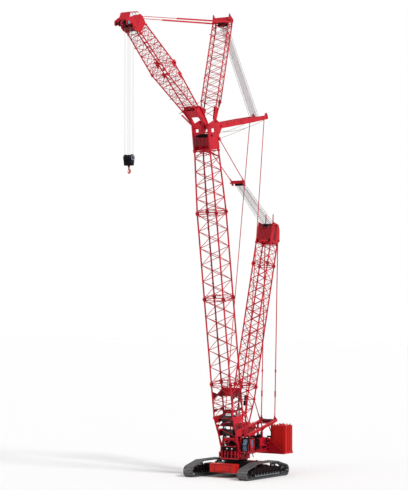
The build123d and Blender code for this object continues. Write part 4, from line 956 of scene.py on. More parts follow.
def makeBase(size):
    front = size["front"]
    red = Weldment()
    red.box((0, front - 0.001, 0.416), (0.232, 0.006, 0.012))
    red.box((0.01, front + 0.004, 0.251), (0.26, 0.012, 0.022))
    for x in mirrored(0.154):
        red.box((x, front + 0.006, 0.298), (0.014, 0.016, 0.088))
    for x in (-0.108, -0.058, -0.012, 0.05, 0.108):
        red.box((x, front + 0.001, 0.305), (0.014, 0.014, 0.1))
    for x in (-0.058, -0.012):
        red.box((x, front - 0.002, 0.318), (0.024, 0.016, 0.008))
    for x in mirrored(size["lugX"]):
        # big lugs that carry the cab bracket and the far service deck
        red.plate(
            [
                (0, -0.17, 0.315), (0, 0.075, 0.315), (0, 0.075, 0.275), (0, 0.02, 0.24), (0, -0.10, 0.24),
                (0, -0.17, 0.285),
            ],
            x,
            0.008,
        )
        red.box((x, -0.05, 0.312), (0.018, 0.25, 0.008))
    red.box((0, 0.82, 0.345), (0.24, 0.04, 0.06))
    red.piece("baseFront", "upperworks", "craneRed")
    dark = Weldment()
    dark.box((0.0, front + 0.004, 0.388), (0.232, 0.02, 0.05))
    dark.box((0.0, front + 0.007, 0.285), (0.26, 0.008, 0.036))
    for x in (-0.09, -0.075, 0.08, 0.094):
        dark.rod((x, front, 0.262), (x, front, 0.365), 0.0055, 10)
    for x in (-0.035, -0.024, 0.004, 0.014):
        dark.rod((x, front - 0.003, 0.262), (x, front - 0.003, 0.33), 0.004, 10)
        dark.rod((x, front - 0.003, 0.33), (x * 0.6 + 0.02, front - 0.003, 0.37), 0.004, 10)
    for x in mirrored(0.173):
        dark.axle(x - 0.006, x + 0.006, -0.035, 0.287, 0.014, 18)
        dark.axle(x - 0.006, x + 0.006, 0.04, 0.297, 0.008, 14)
    dark.box((0.05, front + 0.01, 0.238), (0.22, 0.03, 0.008))
    dark.piece("basePipes", "upperworks", "blockBlack")
    lamps = Weldment()
    for x in size["lampX"]:
        lamps.rod((x, front - 0.004, size["lampZ"]), (x, front - 0.014, size["lampZ"]), 0.009, 18)
    lamps.rod((0.24, -0.158, 0.341), (0.24, -0.163, 0.341), 0.004, 12)
    lamps.piece("baseLamps", "upperworks", "lampWhite", 0.0008)
    bezels = Weldment()
    for x in size["lampX"]:
        bezels.rod((x, front - 0.001, size["lampZ"]), (x, front - 0.01, size["lampZ"]), 0.0125, 18)
    bezels.piece("baseLampBezels", "upperworks", "darkFrame", 0.0008)
    bolts = [(x, front - 0.004, 0.251) for x in spread(-0.11, 0.13, 9)]
    bolts += [(x, front - 0.004, 0.416) for x in spread(-0.11, 0.11, 5)]
    copies("baseBolts", boltShape(0.0028), bolts, "rollerSteel", "upperworks", (pi / 2, 0, 0))


ringSize = {"circle": 0.158, "bolts": 40}


def makeSlewRing(size):
    # bolt circles and the toothed rim under the turning frame
    bolts = [
        (size["circle"] * cos(turn), size["circle"] * sin(turn), 0.2055) for turn in turns(size["bolts"])
    ]
    copies("ringBolts", boltShape(0.0026), bolts, "rollerSteel", "carbody")
    legs = Weldment()
    for x in mirrored(0.345):
        for y in mirrored(0.15):
            legs.box((x, y, 0.163), (0.1, 0.05, 0.008))
            for edge in mirrored(0.03):
                legs.box((x, y + edge, 0.12), (0.1, 0.004, 0.06))
    legs.piece("carbodyPlates", "carbody", "darkFrame")
    # faint seams, lifting bars and the dark upper edge of the front weight
    pads, seams = Weldment(), Weldment()
    for x in mirrored(0.12):
        pads.box((x, -0.357, 0.15), (0.03, 0.004, 0.012))
        seams.box((x, -0.3562, 0.13), (0.004, 0.0022, 0.09))
    seams.box((0, -0.3565, 0.1795), (0.31, 0.004, 0.004))
    seams.box((0, -0.3565, 0.088), (0.31, 0.004, 0.005))
    pads.piece("frontWeightPads", "carbody", "weightRed", 0.0008)
    seams.piece("frontWeightSeams", "carbody", "deepRed", 0.0005)


# cab: frame strips, seat, desk, mirror, rails, wiper, lamps and floor edge
cabSize = {"left": 0.29, "right": 0.19, "front": -0.16, "rear": 0.01, "floor": 0.346, "roof": 0.543}


def makeCab(size):
    left, right, front, rear = size["left"], size["right"], size["front"], size["rear"]
    floor, roof = size["floor"], size["roof"]
    middle = (left + right) / 2
    red = Weldment()
    red.box((left + 0.0005, front + 0.012, floor + 0.075), (0.004, 0.008, 0.13))
    red.box((left + 0.0005, rear - 0.010, floor + 0.098), (0.004, 0.012, 0.18))
    red.box((left + 0.0005, front + 0.048, floor + 0.15), (0.004, 0.006, 0.07), 22)
    red.box((middle, front - 0.0015, floor + 0.008), (0.1, 0.004, 0.006))
    red.box((left + 0.001, -0.075, floor + 0.008), (0.004, 0.16, 0.007))
    red.box((middle, -0.06, roof - 0.001), (0.094, 0.11, 0.003))
    red.piece("cabPosts", "upperworks", "craneRed", 0.0008)
    black = Weldment()
    black.box((middle, -0.055, roof + 0.004), (0.05, 0.06, 0.008))
    black.box((middle, front + 0.012, roof - 0.003), (0.098, 0.01, 0.006))
    for x in (right + 0.006, left - 0.006):
        black.bar((x, front - 0.002, floor + 0.09), (x, front + 0.028, roof - 0.003), 0.009, 0.006)
        black.bar((x, front - 0.002, floor + 0.006), (x, front - 0.002, floor + 0.09), 0.009, 0.006)
    black.box((middle, front - 0.002, floor + 0.09), (0.1, 0.006, 0.006))
    black.bar(
        (middle + 0.02, front - 0.006, floor + 0.096),
        (middle - 0.012, front + 0.006, floor + 0.15),
        0.003,
        0.003,
    )
    # mirror on its arm
    black.rod(
        (left - 0.004, front + 0.006, floor + 0.145),
        (left + 0.014, front - 0.012, floor + 0.145),
        0.0022,
        8,
    )
    black.box((left + 0.014, front - 0.014, floor + 0.13), (0.014, 0.006, 0.034))
    # deck under the cab; its black is painted shade, the dark shadow line under the cab's floor
    black.box((middle - 0.008, -0.07, floor - 0.018), (0.12, 0.18, 0.008))
    black.piece("cabTrim", "upperworks", "blockBlack", 0.0008)
    cushions = Weldment()
    cushions.box((middle, -0.045, floor + 0.05), (0.042, 0.042, 0.014))
    cushions.box((middle, -0.022, floor + 0.083), (0.042, 0.012, 0.062), -10)
    cushions.box((middle, -0.016, floor + 0.122), (0.026, 0.01, 0.018), -10)
    cushions.piece("cabSeat", "upperworks", "seatGrey", 0.004)
    seat = Weldment()
    for x in (middle - 0.027, middle + 0.027):
        seat.box((x, -0.052, floor + 0.062), (0.009, 0.034, 0.012))
        seat.rod((x, -0.064, floor + 0.066), (x, -0.07, floor + 0.084), 0.0016, 8)
        seat.rod((x, -0.070, floor + 0.082), (x, -0.072, floor + 0.09), 0.0032, 10)
    seat.box((middle, -0.045, floor + 0.026), (0.02, 0.02, 0.036))
    seat.piece("cabSeatFrame", "upperworks", "seatGrey", 0.0012)
    desk = Weldment()
    desk.box((left - 0.022, -0.118, floor + 0.075), (0.016, 0.02, 0.03), -15)
    desk.box((right + 0.024, -0.1, floor + 0.05), (0.018, 0.05, 0.05))
    desk.box((middle, -0.142, floor + 0.016), (0.04, 0.012, 0.01), 25)
    desk.piece("cabDesk", "upperworks", "discGrey", 0.001)
    rails = [
        [(left + 0.0035, rear - 0.003, floor + 0.03), (left + 0.0035, rear - 0.003, floor + 0.15)],
        [
            (right - 0.01, y, floor + rise)
            for y, rise in ((front + 0.01, -0.006), (front + 0.01, 0.06), (rear, 0.06), (rear, -0.006))
        ],
    ]
    # low hoops along both edges of the roof
    hoop = [
        (front + 0.03, roof), (front + 0.03, roof + 0.012), (rear - 0.02, roof + 0.012), (rear - 0.02, roof)
    ]
    rails += [[(x, *corner) for corner in hoop] for x in (left - 0.01, right + 0.01)]
    rods("cabRails", rails, 0.0018, "darkFrame", 8, "upperworks")
    lamps = Weldment()
    for x in (right + 0.018, left - 0.018):
        lamps.rod((x, front + 0.008, roof + 0.006), (x, front + 0.016, roof + 0.006), 0.006, 14)
    lamps.rod(
        (left - 0.03, front - 0.004, floor + 0.11), (left - 0.034, front - 0.002, floor + 0.118), 0.004, 10
    )
    lamps.piece("cabLamps", "upperworks", "lampWhite", 0.0006)
    handle = Weldment()
    handle.box((left + 0.0025, -0.077, floor + 0.082), (0.004, 0.008, 0.018))
    handle.box((left + 0.0015, -0.049, floor + 0.035), (0.003, 0.068, 0.004))
    handle.box((left + 0.0015, -0.049, floor + 0.05), (0.003, 0.068, 0.004))
    handle.piece("doorHandle", "door", "blockBlack", 0.0006)


# machinery house and the deck gear round it
houseSize = {"half": 0.16, "doors": (0.235, 0.315, 0.395), "doorZ": 0.445, "rail": 0.542, "postLayers": 6}


def makeHouse(size):
    half = size["half"]
    red = Weldment()
    for side in (-1, 1):
        for y in size["doors"]:
            # pressed door skins with a raised border
            red.box((side * (half + 0.001), y, size["doorZ"]), (0.004, 0.07, 0.094))
            red.box((side * (half + 0.0025), y, 0.488), (0.004, 0.066, 0.004))
            red.box((side * (half + 0.0025), y, 0.402), (0.004, 0.066, 0.004))
        red.box((side * (half + 0.001), 0.365, 0.502), (0.006, 0.39, 0.006))
        red.box((side * (half - 0.006), 0.32, 0.347), (0.02, 0.40, 0.008))
    for y in spread(0.22, 0.54, 6):
        red.box((0, y, 0.5015), (0.3, 0.006, 0.004))
    # posts and rails in front of the gear on the cab's side, laid over one another
    for _ in range(size["postLayers"]):
        for y in (0.2, 0.228, 0.262, 0.294):
            red.box((half + 0.0255, y, 0.446), (0.006, 0.006, 0.106))
        red.box((half + 0.0255, 0.247, 0.452), (0.006, 0.1, 0.005))
        x = half + 0.042
        for y in (0.03, 0.075, 0.125, 0.172):
            red.box((x, y, 0.415), (0.006, 0.009, 0.15))
        red.box((x, 0.1, 0.492), (0.008, 0.15, 0.008))
        red.box((x, 0.1, 0.412), (0.008, 0.15, 0.006))
        red.box((x - 0.01, 0.1, 0.341), (0.03, 0.16, 0.01))
    red.box((0, 0.186, 0.45), (0.27, 0.006, 0.09))
    red.piece("houseDoors", "upperworks", "craneRed", 0.0008)
    dark = Weldment()
    for side in (-1, 1):
        for row in range(3):
            for slat in range(3):
                dark.box(
                    (side * (half - 0.001), 0.485, 0.412 + 0.026 * row + 0.0042 * slat),
                    (0.005, 0.086, 0.0018),
                )
        for z, long in ((0.452, 0.04), (0.398, 0.05), (0.345, 0.05)):
            dark.box((side * (half + 0.002), 0.55, z), (0.006, long, 0.02))
        for y in size["doors"]:
            dark.box((side * (half + 0.0045), y + 0.022, size["doorZ"]), (0.004, 0.007, 0.016))
    # gear between the cab and the engine house, seen between the posts of its frame
    for side in (-1, 1):
        x = side * (half + 0.012)
        dark.box((x, 0.1, 0.41), (0.05, 0.13, 0.13))
        dark.box((x + side * 0.012, 0.07, 0.49), (0.03, 0.06, 0.03))
        dark.rod((x + side * 0.02, 0.05, 0.372), (x + side * 0.02, 0.16, 0.372), 0.02, 18)
        for y in (0.045, 0.1, 0.155):
            dark.box((x + side * 0.027, y, 0.445), (0.012, 0.03, 0.05))
        dark.box((side * (half + 0.004), 0.205, 0.44), (0.006, 0.03, 0.1))
        dark.box((side * (half + 0.0035), 0.275, 0.372), (0.005, 0.15, 0.02))
        dark.box((side * (half + 0.0035), 0.465, 0.372), (0.005, 0.1, 0.02))
        for y, z in ((0.24, 0.36), (0.33, 0.36), (0.42, 0.36)):
            dark.axle(side * (half + 0.002), side * (half + 0.012), y, z, 0.008, 12)
        dark.box((side * (half + 0.012), 0.245, 0.446), (0.022, 0.1, 0.1))
        dark.rod((side * (half + 0.016), 0.2, 0.385), (side * (half + 0.016), 0.29, 0.385), 0.016, 18)
        dark.box((side * (half + 0.008), 0.235, 0.515), (0.03, 0.06, 0.026))
        dark.box((side * (half - 0.02), 0.345, 0.525), (0.04, 0.05, 0.046))
        dark.rod((side * (half - 0.03), 0.4, 0.5), (side * (half - 0.03), 0.4, 0.556), 0.012, 16)
        dark.box((side * (half + 0.001), 0.52, 0.45), (0.006, 0.03, 0.09))
    dark.box((0, 0.02, 0.485), (0.19, 0.1, 0.11))
    dark.axle(-0.09, 0.09, 0.0, 0.55, 0.022, 20)
    # tanks, filters, pump and silencer on the deck
    dark.box((0.1, 0.3, 0.518), (0.06, 0.06, 0.034))
    dark.box((0.03, 0.36, 0.515), (0.05, 0.08, 0.028))
    dark.rod((0.06, 0.43, 0.525), (0.06, 0.53, 0.525), 0.02, 20)
    dark.rod((0.06, 0.525, 0.525), (0.06, 0.525, 0.575), 0.008, 14)
    dark.rod((-0.08, 0.3, 0.502), (-0.08, 0.3, 0.535), 0.022, 20)
    dark.box((-0.07, 0.42, 0.515), (0.08, 0.1, 0.028))
    dark.box((0.12, 0.65, 0.505), (0.05, 0.05, 0.02))
    dark.box((0.0, 0.66, 0.41), (0.2, 0.12, 0.04))
    dark.rod((0.11, 0.235, 0.5), (0.11, 0.235, 0.54), 0.01, 16)
    dark.piece("deckGear", "upperworks", "blockBlack", 0.0014)
    rails = []
    for x in mirrored(half - 0.004):
        rails += [[(x, y, 0.5), (x, y, size["rail"])] for y in (0.2, 0.56)]
        rails.append([(x, 0.2, size["rail"]), (x, 0.38, size["rail"])])
        rails.append([(x, 0.38, size["rail"]), (x, 0.38, 0.5)])
    rods("houseRails", rails, 0.0018, "darkFrame", 8, "upperworks")
    rods(
        "drainPipe",
        [[(0.168, 0.13, 0.33), (0.168, 0.15, 0.29), (0.168, 0.17, 0.255)]],
        0.006,
        "discGrey",
        12,
        "upperworks",
    )
    bolts, facing = [], []
    for side in (-1, 1):
        for y in size["doors"]:
            bolts += [
                (side * (half + 0.0035), y + edge, z) for edge in mirrored(0.028) for z in (0.407, 0.483)
            ]
            facing += [(0, side * pi / 2, 0)] * 4
    copies("houseBolts", boltShape(0.0018), bolts, "rollerSteel", "upperworks", facing)


# gantry: flanges, gussets, pins and pendants' knuckles
gantrySize = {"x": 0.115, "pins": ((0.109, 0.535), (0.465, 0.618), (0.72, 0.672), (0.805, 0.75))}


def makeGantry(size):
    front, rear = Vector(crane["gantryFront"]), Vector(crane["gantryRear"])
    slope = rear - front
    red = Weldment()
    for side in (-1, 1):
        x = side * size["x"]
        for edge in (-1, 1):
            lift = Vector((x, 0, edge * 0.017))
            red.bar(front + lift, front + slope * 0.93 + lift, 0.036, 0.003)
        for share in (0.18, 0.36, 0.6, 0.78):
            spot = front + slope * share
            red.box((x, spot.y, spot.z), (0.033, 0.005, 0.032), 13)
        for y, z in ((0.109, 0.42), (0.465, 0.52), (0.72, 0.43)):
            red.box((x, y, z), (0.034, 0.034, 0.008))
            red.box((x, y, z - 0.02), (0.03, 0.03, 0.006))
        red.bar((x, 0.475, 0.6), (x, 0.6, 0.66), 0.012, 0.012)
        red.bar((x, 0.71, 0.56), (x, 0.64, 0.66), 0.012, 0.012)
    red.beam(0.115, 0.3, 0.6, 0.014, 0.016)
    red.piece("gantryPlates", "upperworks", "craneRed")
    blue = Weldment()
    for x in (-0.05, 0.05):
        blue.box((x, 0.79, 0.683), (0.062, 0.052, 0.022))
        blue.box((x, 0.79, 0.733), (0.05, 0.03, 0.01))
    blue.box((0.0, 0.845, 0.703), (0.07, 0.03, 0.03))
    blue.piece("gantrySheaveGuards", "upperworks", "sheaveBlue", 0.002)
    pins = [(x, *pin) for x in mirrored(size["x"]) for pin in size["pins"]]
    copies("gantryPins", pinShape(0.007, 0.034), pins, "blockBlack", "upperworks")


# counterweight: ribs, rods, lifting lugs and the tray's edge
stackSize = {"outer": 0.42, "front": 0.595, "rear": 0.78, "low": 0.306, "high": 0.67, "plates": 9}


def makeCounterweight(size):
    outer, front, rear = size["outer"], size["front"], size["rear"]
    low, high = size["low"], size["high"]
    pitch = (high - low) / size["plates"]
    red, dark, shadow = Weldment(), Weldment(), Weldment()
    for side in (-1, 1):
        for row in range(size["plates"]):
            z = low + pitch * (row + 0.5)
            # cast pockets and keys on each plate
            for y in (0.722, 0.655):
                red.box((side * (outer + 0.003), y, z), (0.01, 0.014, pitch - 0.008))
            for y in (0.61, 0.765):
                red.box((side * (outer + 0.0015), y, z), (0.005, 0.02, pitch - 0.01))
            red.box((side * 0.31, rear + 0.002, z), (0.05, 0.006, pitch - 0.01))
            for x in (0.235, 0.385):
                red.box((side * x, front - 0.0015, z), (0.03, 0.005, pitch - 0.012))
        for x in (0.225, 0.275, 0.345, 0.395):
            for y in (0.62, 0.755):
                lug = ((-0.013, -0.002), (0.013, -0.002), (0.008, 0.019), (-0.008, 0.019))
                red.plate([(0, y + shift, high + rise) for shift, rise in lug], side * x, 0.01)
                dark.axle(side * x - 0.0065, side * x + 0.0065, y, high + 0.01, 0.0045, 12)
        for x, y in ((0.31, 0.65), (0.31, 0.73)):
            red.rod((side * x, y, high - 0.001), (side * x, y, high + 0.014), 0.012, 18)
            dark.rod((side * x, y, high + 0.013), (side * x, y, high + 0.022), 0.007, 6)
        # lifting rods in their slots, with the plates' edges bright between them; the dark strips in the slots are
        # painted shade
        for y in (0.638, 0.6885, 0.742):
            shadow.box((side * (outer + 0.0012), y, (low + high) / 2), (0.003, 0.0055, high - low - 0.004))
        for y in (0.672, 0.705):
            red.rod(
                (side * (outer + 0.005), y, low - 0.01),
                (side * (outer + 0.005), y, high + 0.004),
                0.0045,
                10,
            )
            dark.rod(
                (side * (outer + 0.005), y, high + 0.004),
                (side * (outer + 0.005), y, high + 0.012),
                0.0065,
                6,
            )
    red.piece("weightPockets", "upperworks", "weightRed", 0.0016)
    dark.piece("weightRods", "upperworks", "darkFrame", 0.0008)
    shadow.piece("weightSlots", "upperworks", "deepRed", 0.0006)
    tray = Weldment()
    for edge in (0.566, 0.787):
        tray.box((0, edge, 0.281), (0.85, 0.006, 0.01))
        tray.box((0, edge, 0.303), (0.85, 0.006, 0.01))
    for x in mirrored(0.17, 0.24, 0.31, 0.38):
        tray.box((x, 0.5645, 0.292), (0.007, 0.006, 0.026))
        tray.box((x, 0.7885, 0.292), (0.007, 0.006, 0.026))
    for x in mirrored(0.422):
        tray.box((x, 0.676, 0.292), (0.006, 0.2, 0.024))
    tray.piece("trayEdges", "upperworks", "craneRed", 0.001)
    # raised band down the sloping edge of the tray's cheeks, with a dark strip along its upper edge
    band, darkMarks = Weldment(), Weldment()
    for side in (-1, 1):
        slope = [(side * 0.19, 0.5648, 0.5), (side * 0.415, 0.5648, 0.318)]
        band.slab(
            [slope[0], slope[1], (side * 0.375, 0.5648, 0.313), (side * 0.18, 0.5648, 0.462)],
            (0, -0.005, 0),
        )
        darkMarks.slab(
            [(side * 0.19, 0.5646, 0.506), slope[0], slope[1], (side * 0.418, 0.5646, 0.323)],
            (0, -0.004, 0),
        )
        for share in (0.2, 0.4, 0.6, 0.8):
            middle = Vector((side * 0.187, 0.5605, 0.478)).lerp(Vector((side * 0.39, 0.5605, 0.318)), share)
            darkMarks.rod(middle, middle - Vector((0, 0.003, 0)), 0.005, 12)
    band.piece("trayBands", "upperworks", "weightRed", 0.0008)
    darkMarks.piece("traySeams", "upperworks", "deepRed", 0.0006)


makeBase(baseSize)
makeSlewRing(ringSize)
makeCab(cabSize)
makeHouse(houseSize)
makeGantry(gantrySize)
makeCounterweight(stackSize)
print("base, cab, house, gantry and counterweight dressed")


# boom butt: winches, arch between the legs, panels, gussets, hoses and the box on the mast
buttSize = {
    "half": 0.155, "deep": 0.12, "winches": (0.255, 0.445), "drum": 0.042, "rope": 0.047, "flange": 0.058,
    "drumHalf": 0.075, "wraps": 26,
}


def drumShape(size):
    # drum with its flanges and the rope laid on it in grooves
    half, flange = size["drumHalf"], size["flange"]
    outline = [
        (-half - 0.007, 0.012), (-half - 0.007, flange), (-half + 0.001, flange),
        (-half + 0.001, size["drum"]),
    ]
    for wrap, x in enumerate(spread(-half + 0.002, half - 0.002, size["wraps"] * 2 + 1)):
        outline.append((x, size["rope"] if wrap % 2 else size["rope"] - 0.0022))
    outline += [
        (half - 0.001, size["drum"]), (half - 0.001, flange), (half + 0.007, flange), (half + 0.007, 0.012)
    ]
    return lathe("drumShape", outline, 32)


def makeWinches(size):
    dark, red = Weldment(onBoom), Weldment(onBoom)
    for along in size["winches"]:
        for side in (-1, 1):
            dark.axle(side * 0.083, side * 0.139, 0, along, 0.03, 24)
            dark.axle(side * 0.083, side * 0.1, 0, along, 0.044, 24)
            for turn in turns(8):
                spoke = [
                    onBoom(side * 0.0835, reach * cos(turn), along + reach * sin(turn))
                    for reach in (0.018, 0.056)
                ]
                red.bar(*spoke, 0.003, 0.005)
        # cross beams before and behind each drum
        for behind, rise in ((-0.062, -0.05), (0.062, -0.05), (-0.07, 0.055)):
            shift = behind * (0.6 if along < 0.3 else 1.0)
            red.beam(0.138, shift, along + rise, 0.01, 0.014)
    for along in (0.35, 0.53):
        cover = ((-0.14, -0.028), (0.02, -0.028), (0.02, 0.028), (-0.14, 0.028))
        red.slab([(x, 0.07, along + rise) for x, rise in cover], 0.006)
    for x, along in ((-0.1, 0.53), (-0.03, 0.53), (-0.1, 0.35), (-0.02, 0.35)):
        dark.rod((x, 0.075, along), (x, 0.0775, along), 0.012, 16)
    drums = [onBoom(0, 0, along) for along in size["winches"]]
    copies("winchDrums", drumShape(size), drums, "drumSteel", "boom", boomTurn, replacing=["hoist_winches"])
    dark.piece("winchMotors", "boom", "blockBlack")
    red.piece("winchBeams", "boom", "deepRed")


def makeBoomButt(size):
    half, deep = size["half"], size["deep"]
    red = Weldment(onBoom)
    # arch between the legs above the foot pins
    arch = [(-0.128, 0.085), (-0.108, 0.09), (-0.1, 0.115), (-0.078, 0.139), (-0.042, 0.153), (0, 0.158)]
    arch += [(-x, along) for x, along in arch[-2::-1]]
    arch += [(0.13, 0.184), (-0.13, 0.184)]
    red.slab([(x, -0.004, along) for x, along in arch], 0.008)
    red.beam(0.13, 0, 0.186, 0.012, 0.02)
    # stiffeners on the closed panel, and bands across the butt
    for x in (-0.1, -0.05, 0, 0.05, 0.1):
        red.bar((x, deep + 0.007, 0.738), (x, deep + 0.007, 0.812), 0.006, 0.006)
    for along in (0.735, 0.815):
        red.beam(half, deep + 0.006, along, 0.008, 0.012)
    for behind in (-deep, deep):
        red.beam(half, behind, 0.548, 0.014, 0.02)
        red.beam(half, behind, 0.68, 0.008, 0.008)
    for step in range(3):
        low, high = 0.56 + step * 0.06, 0.62 + step * 0.06
        red.bar((-half, -deep, low), (half, -deep, high), 0.006, 0.006)
        red.bar((half, -deep, low), (-half, -deep, high), 0.006, 0.006)
    red.panel(half, (deep, 0.735), (deep, 0.86), (0, -0.004, 0))
    for x in (-0.09, -0.03, 0.03, 0.09):
        red.bar((x, deep - 0.006, 0.74), (x, deep - 0.006, 0.855), 0.005, 0.006)
    # flanges along the plated legs
    for side in (-1, 1):
        for edge in (-1, 1):
            red.bar((side * 0.1565, edge * 0.030, 0.078), (side * 0.1575, edge * 0.043, 0.15), 0.005, 0.006)
            red.bar((side * 0.141, edge * 0.0362, 0.082), (side * 0.143, edge * 0.066, 0.235), 0.024, 0.006)
    red.piece("boomButtPlates", "boom", "craneRed", 0.001)
    # painted shade: the gussets on both sides take the darker deep red, so that they look shaded
    paintedShade = Weldment(onBoom)
    for side in (-1, 1):
        x = side * (half - 0.002)
        for low, high in ((0.715, 0.84), (0.545, 0.60), (0.31, 0.39)):
            full = min(1, high / 0.472)
            for edge in mirrored(deep * full * 0.96):
                corners = ((edge, low), (-edge * 0.2, (low + high) / 2), (edge, high))
                paintedShade.slab([(x, *corner) for corner in corners], (side * 0.004, 0, 0))
    paintedShade.piece("boomButtGussets", "boom", "deepRed", 0.001)
    # hoses beside the winches, three on each side
    hoses = []
    for index, x in enumerate((0.118, 0.124, 0.13)):
        lift = 0.012 * index
        run = [(0.03 + lift, 0.06), (0.05 + lift, 0.16), (0.07 + lift, 0.3)]
        hoses.append([onBoom(x, *spot) for spot in run + [(0.078 + lift * 0.6, 0.5), (0.1, 0.735)]])
        hoses.append([onBoom(-x, *spot) for spot in run + [(0.078 + lift * 0.6, 0.46)]])
    rods("winchHoses", hoses, 0.0034, "hoseBlack", 8, "boom")


def makeMastBox():
    # control box, cream duct and clamps on the mast's near front chord
    dark = Weldment(onMast)
    for along in (0.535, 0.61):
        dark.bar((0.1, -0.088, along - 0.034), (0.1, -0.088, along + 0.034), 0.044, 0.034)
    dark.bar((0.1, -0.094, 0.7), (0.1, -0.094, 0.722), 0.026, 0.02)
    dark.bar((0.075, -0.075, 0.6), (-0.11, -0.075, 0.6), 0.01, 0.012)
    dark.piece("mastBoxes", "upperworks", "blockBlack", 0.002)
    bends = ((0.113, -0.062, 0.49), (0.113, -0.056, 0.42), (0.114, -0.045, 0.33), (0.114, -0.034, 0.25))
    rods("mastDuct", [[onMast(*bend) for bend in bends]], 0.0055, "creamHose", 12, "upperworks")


# long members: connecting pins, diaphragms, ladder rungs and clamps
jointSize = {
    "pin": 0.0075,
    "boom": {"stations": (0.94, 2.11, 3.28), "half": 0.155, "deep": 0.12},
    "mast": {"stations": (0.8, 2.54), "half": 0.121, "deep": 0.087},
    "jib": {"stations": (1.1,), "half": 0.13, "deep": 0.1},
}


def cornersAt(place, station):
    along, half, front, rear = station
    return [
        place(*corner, along) for corner in ((-half, front), (half, front), (half, rear), (-half, rear))
    ]


def crossedLines(place, half, deep, along):
    return [[place(-x, -deep, along), place(x, deep, along)] for x in (half, -half)]


def pinPoints(place, size):
    half, deep = size["half"], size["deep"]
    return [corner for along in size["stations"] for corner in cornersAt(place, (along, half, -deep, deep))]


def makeMembers(size):
    boom, mast = size["boom"], size["mast"]
    pin, slimPin = (size["pin"], 0.044), (size["pin"] * 0.9, 0.036)
    copies("boomPins", pinShape(*pin), pinPoints(onBoom, boom), "blockBlack", "boom", boomTurn)
    copies("mastPins", pinShape(*slimPin), pinPoints(onMast, mast), "blockBlack", "upperworks", mastTurn)
    copies("jibPins", pinShape(*pin), pinPoints(onJib, size["jib"]), "blockBlack", "jib", jibTurn, 0.72)
    frames, mastFrames = [], []
    for along in boom["stations"]:
        for step in mirrored(0.045):
            frames += crossedLines(onBoom, boom["half"], boom["deep"], along + step)
    for along in mast["stations"]:
        mastFrames += crossedLines(onMast, mast["half"], mast["deep"], along + 0.04)
    rods("boomDiaphragms", frames, 0.0042, "craneRed", 8, "boom")
    rods("mastDiaphragms", mastFrames, 0.0038, "craneRed", 8, "upperworks")
    # cable run clipped inside the boom's far rear chord
    bends = ((-0.138, 0.1, 0.12), (-0.14, 0.1, 0.5), (-0.14, 0.1, 3.25), (-0.125, 0.09, 4.1))
    rods("boomCable", [[onBoom(*bend) for bend in bends]], 0.003, "hoseBlack", 8, "boom")
    clips = Weldment(onBoom)
    for along in spread(0.55, 3.8, 14):
        clips.bar((-0.15, 0.106, along - 0.005), (-0.15, 0.106, along + 0.005), 0.026, 0.016)
    clips.piece("boomClips", "boom", "darkFrame", 0.0006)


# boom head: pins, lattice behind the panel, lugs, lamps and the hoses to the rear strut
headSize = {
    "plate": 0.131,
    "pins": ((-0.084, 4.458, 0.026), (0.087, 4.504, 0.022), (0.2, 4.432, 0.024), (0.122, 4.267, 0.02)),
}


def makeBoomHead(size):
    plate = size["plate"]
    red = Weldment(onBoom)
    for side in (-1, 1):
        for behind, along, reach in size["pins"]:
            red.axle(side * plate, side * (plate + 0.0045), behind, along, reach, 20)
        # edge flanges of the head plates
        rim = [(-0.112, 4.14), (-0.112, 4.475), (-0.054, 4.489)]
        for here, there in zip(rim, rim[1:]):
            red.bar((side * (plate - 0.004), *here), (side * (plate - 0.004), *there), 0.022, 0.005)
        red.bar((side * (plate - 0.004), 0.11, 4.14), (side * (plate - 0.004), 0.112, 4.225), 0.022, 0.005)
        lug = ((0.125, 4.235), (0.165, 4.25), (0.165, 4.275), (0.125, 4.3))
        red.slab([(side * plate, *corner) for corner in lug], (side * 0.004, 0, 0))
    for low, high in ((-0.118, 0.118), (0.118, -0.118)):
        red.bar((low, -0.1, 4.06), (high, -0.1, 4.13), 0.009, 0.009)
        red.bar((low, 0.1, 4.04), (high, 0.1, 4.12), 0.009, 0.009)
    for x in (-0.09, -0.03, 0.03, 0.09):
        red.bar((x, -0.114, 4.195), (x, -0.114, 4.295), 0.006, 0.006)
    red.beam(0.12, -0.02, 4.47, 0.02, 0.028)
    red.beam(0.12, 0.14, 4.43, 0.016, 0.02)
    red.piece("boomHeadPlates", "boom", "craneRed", 0.001)
    dark = Weldment(onBoom)
    for side in (-1, 1):
        for behind, along, _ in size["pins"]:
            dark.axle(side * (plate + 0.004), side * (plate + 0.008), behind, along, 0.0105, 16)
        dark.axle(side * 0.12, side * (plate + 0.006), -0.04, 4.32, 0.016, 18)
    for x in (-0.06, -0.02, 0.02, 0.06):
        dark.bar((x, -0.073, 4.3), (x, -0.073, 4.345), 0.03, 0.004)
    dark.piece("boomHeadPins", "boom", "blockBlack", 0.0008)
    inner = Weldment(onBoom)
    inner.panel(0.11, (-0.098, 4.21), (-0.098, 4.285), 0.004)
    inner.panel(0.116, (-0.114, 4.192), (-0.114, 4.298), 0.003)
    inner.piece("boomHeadPanel", "boom", "deepRed", 0.0008)


# rear strut: flanges, tip horns, sheave guards, stay eyes and slack hoses
rearSize = {"x": 0.106, "bend": 0.62, "edge": 0.033, "tipEdge": 0.025}


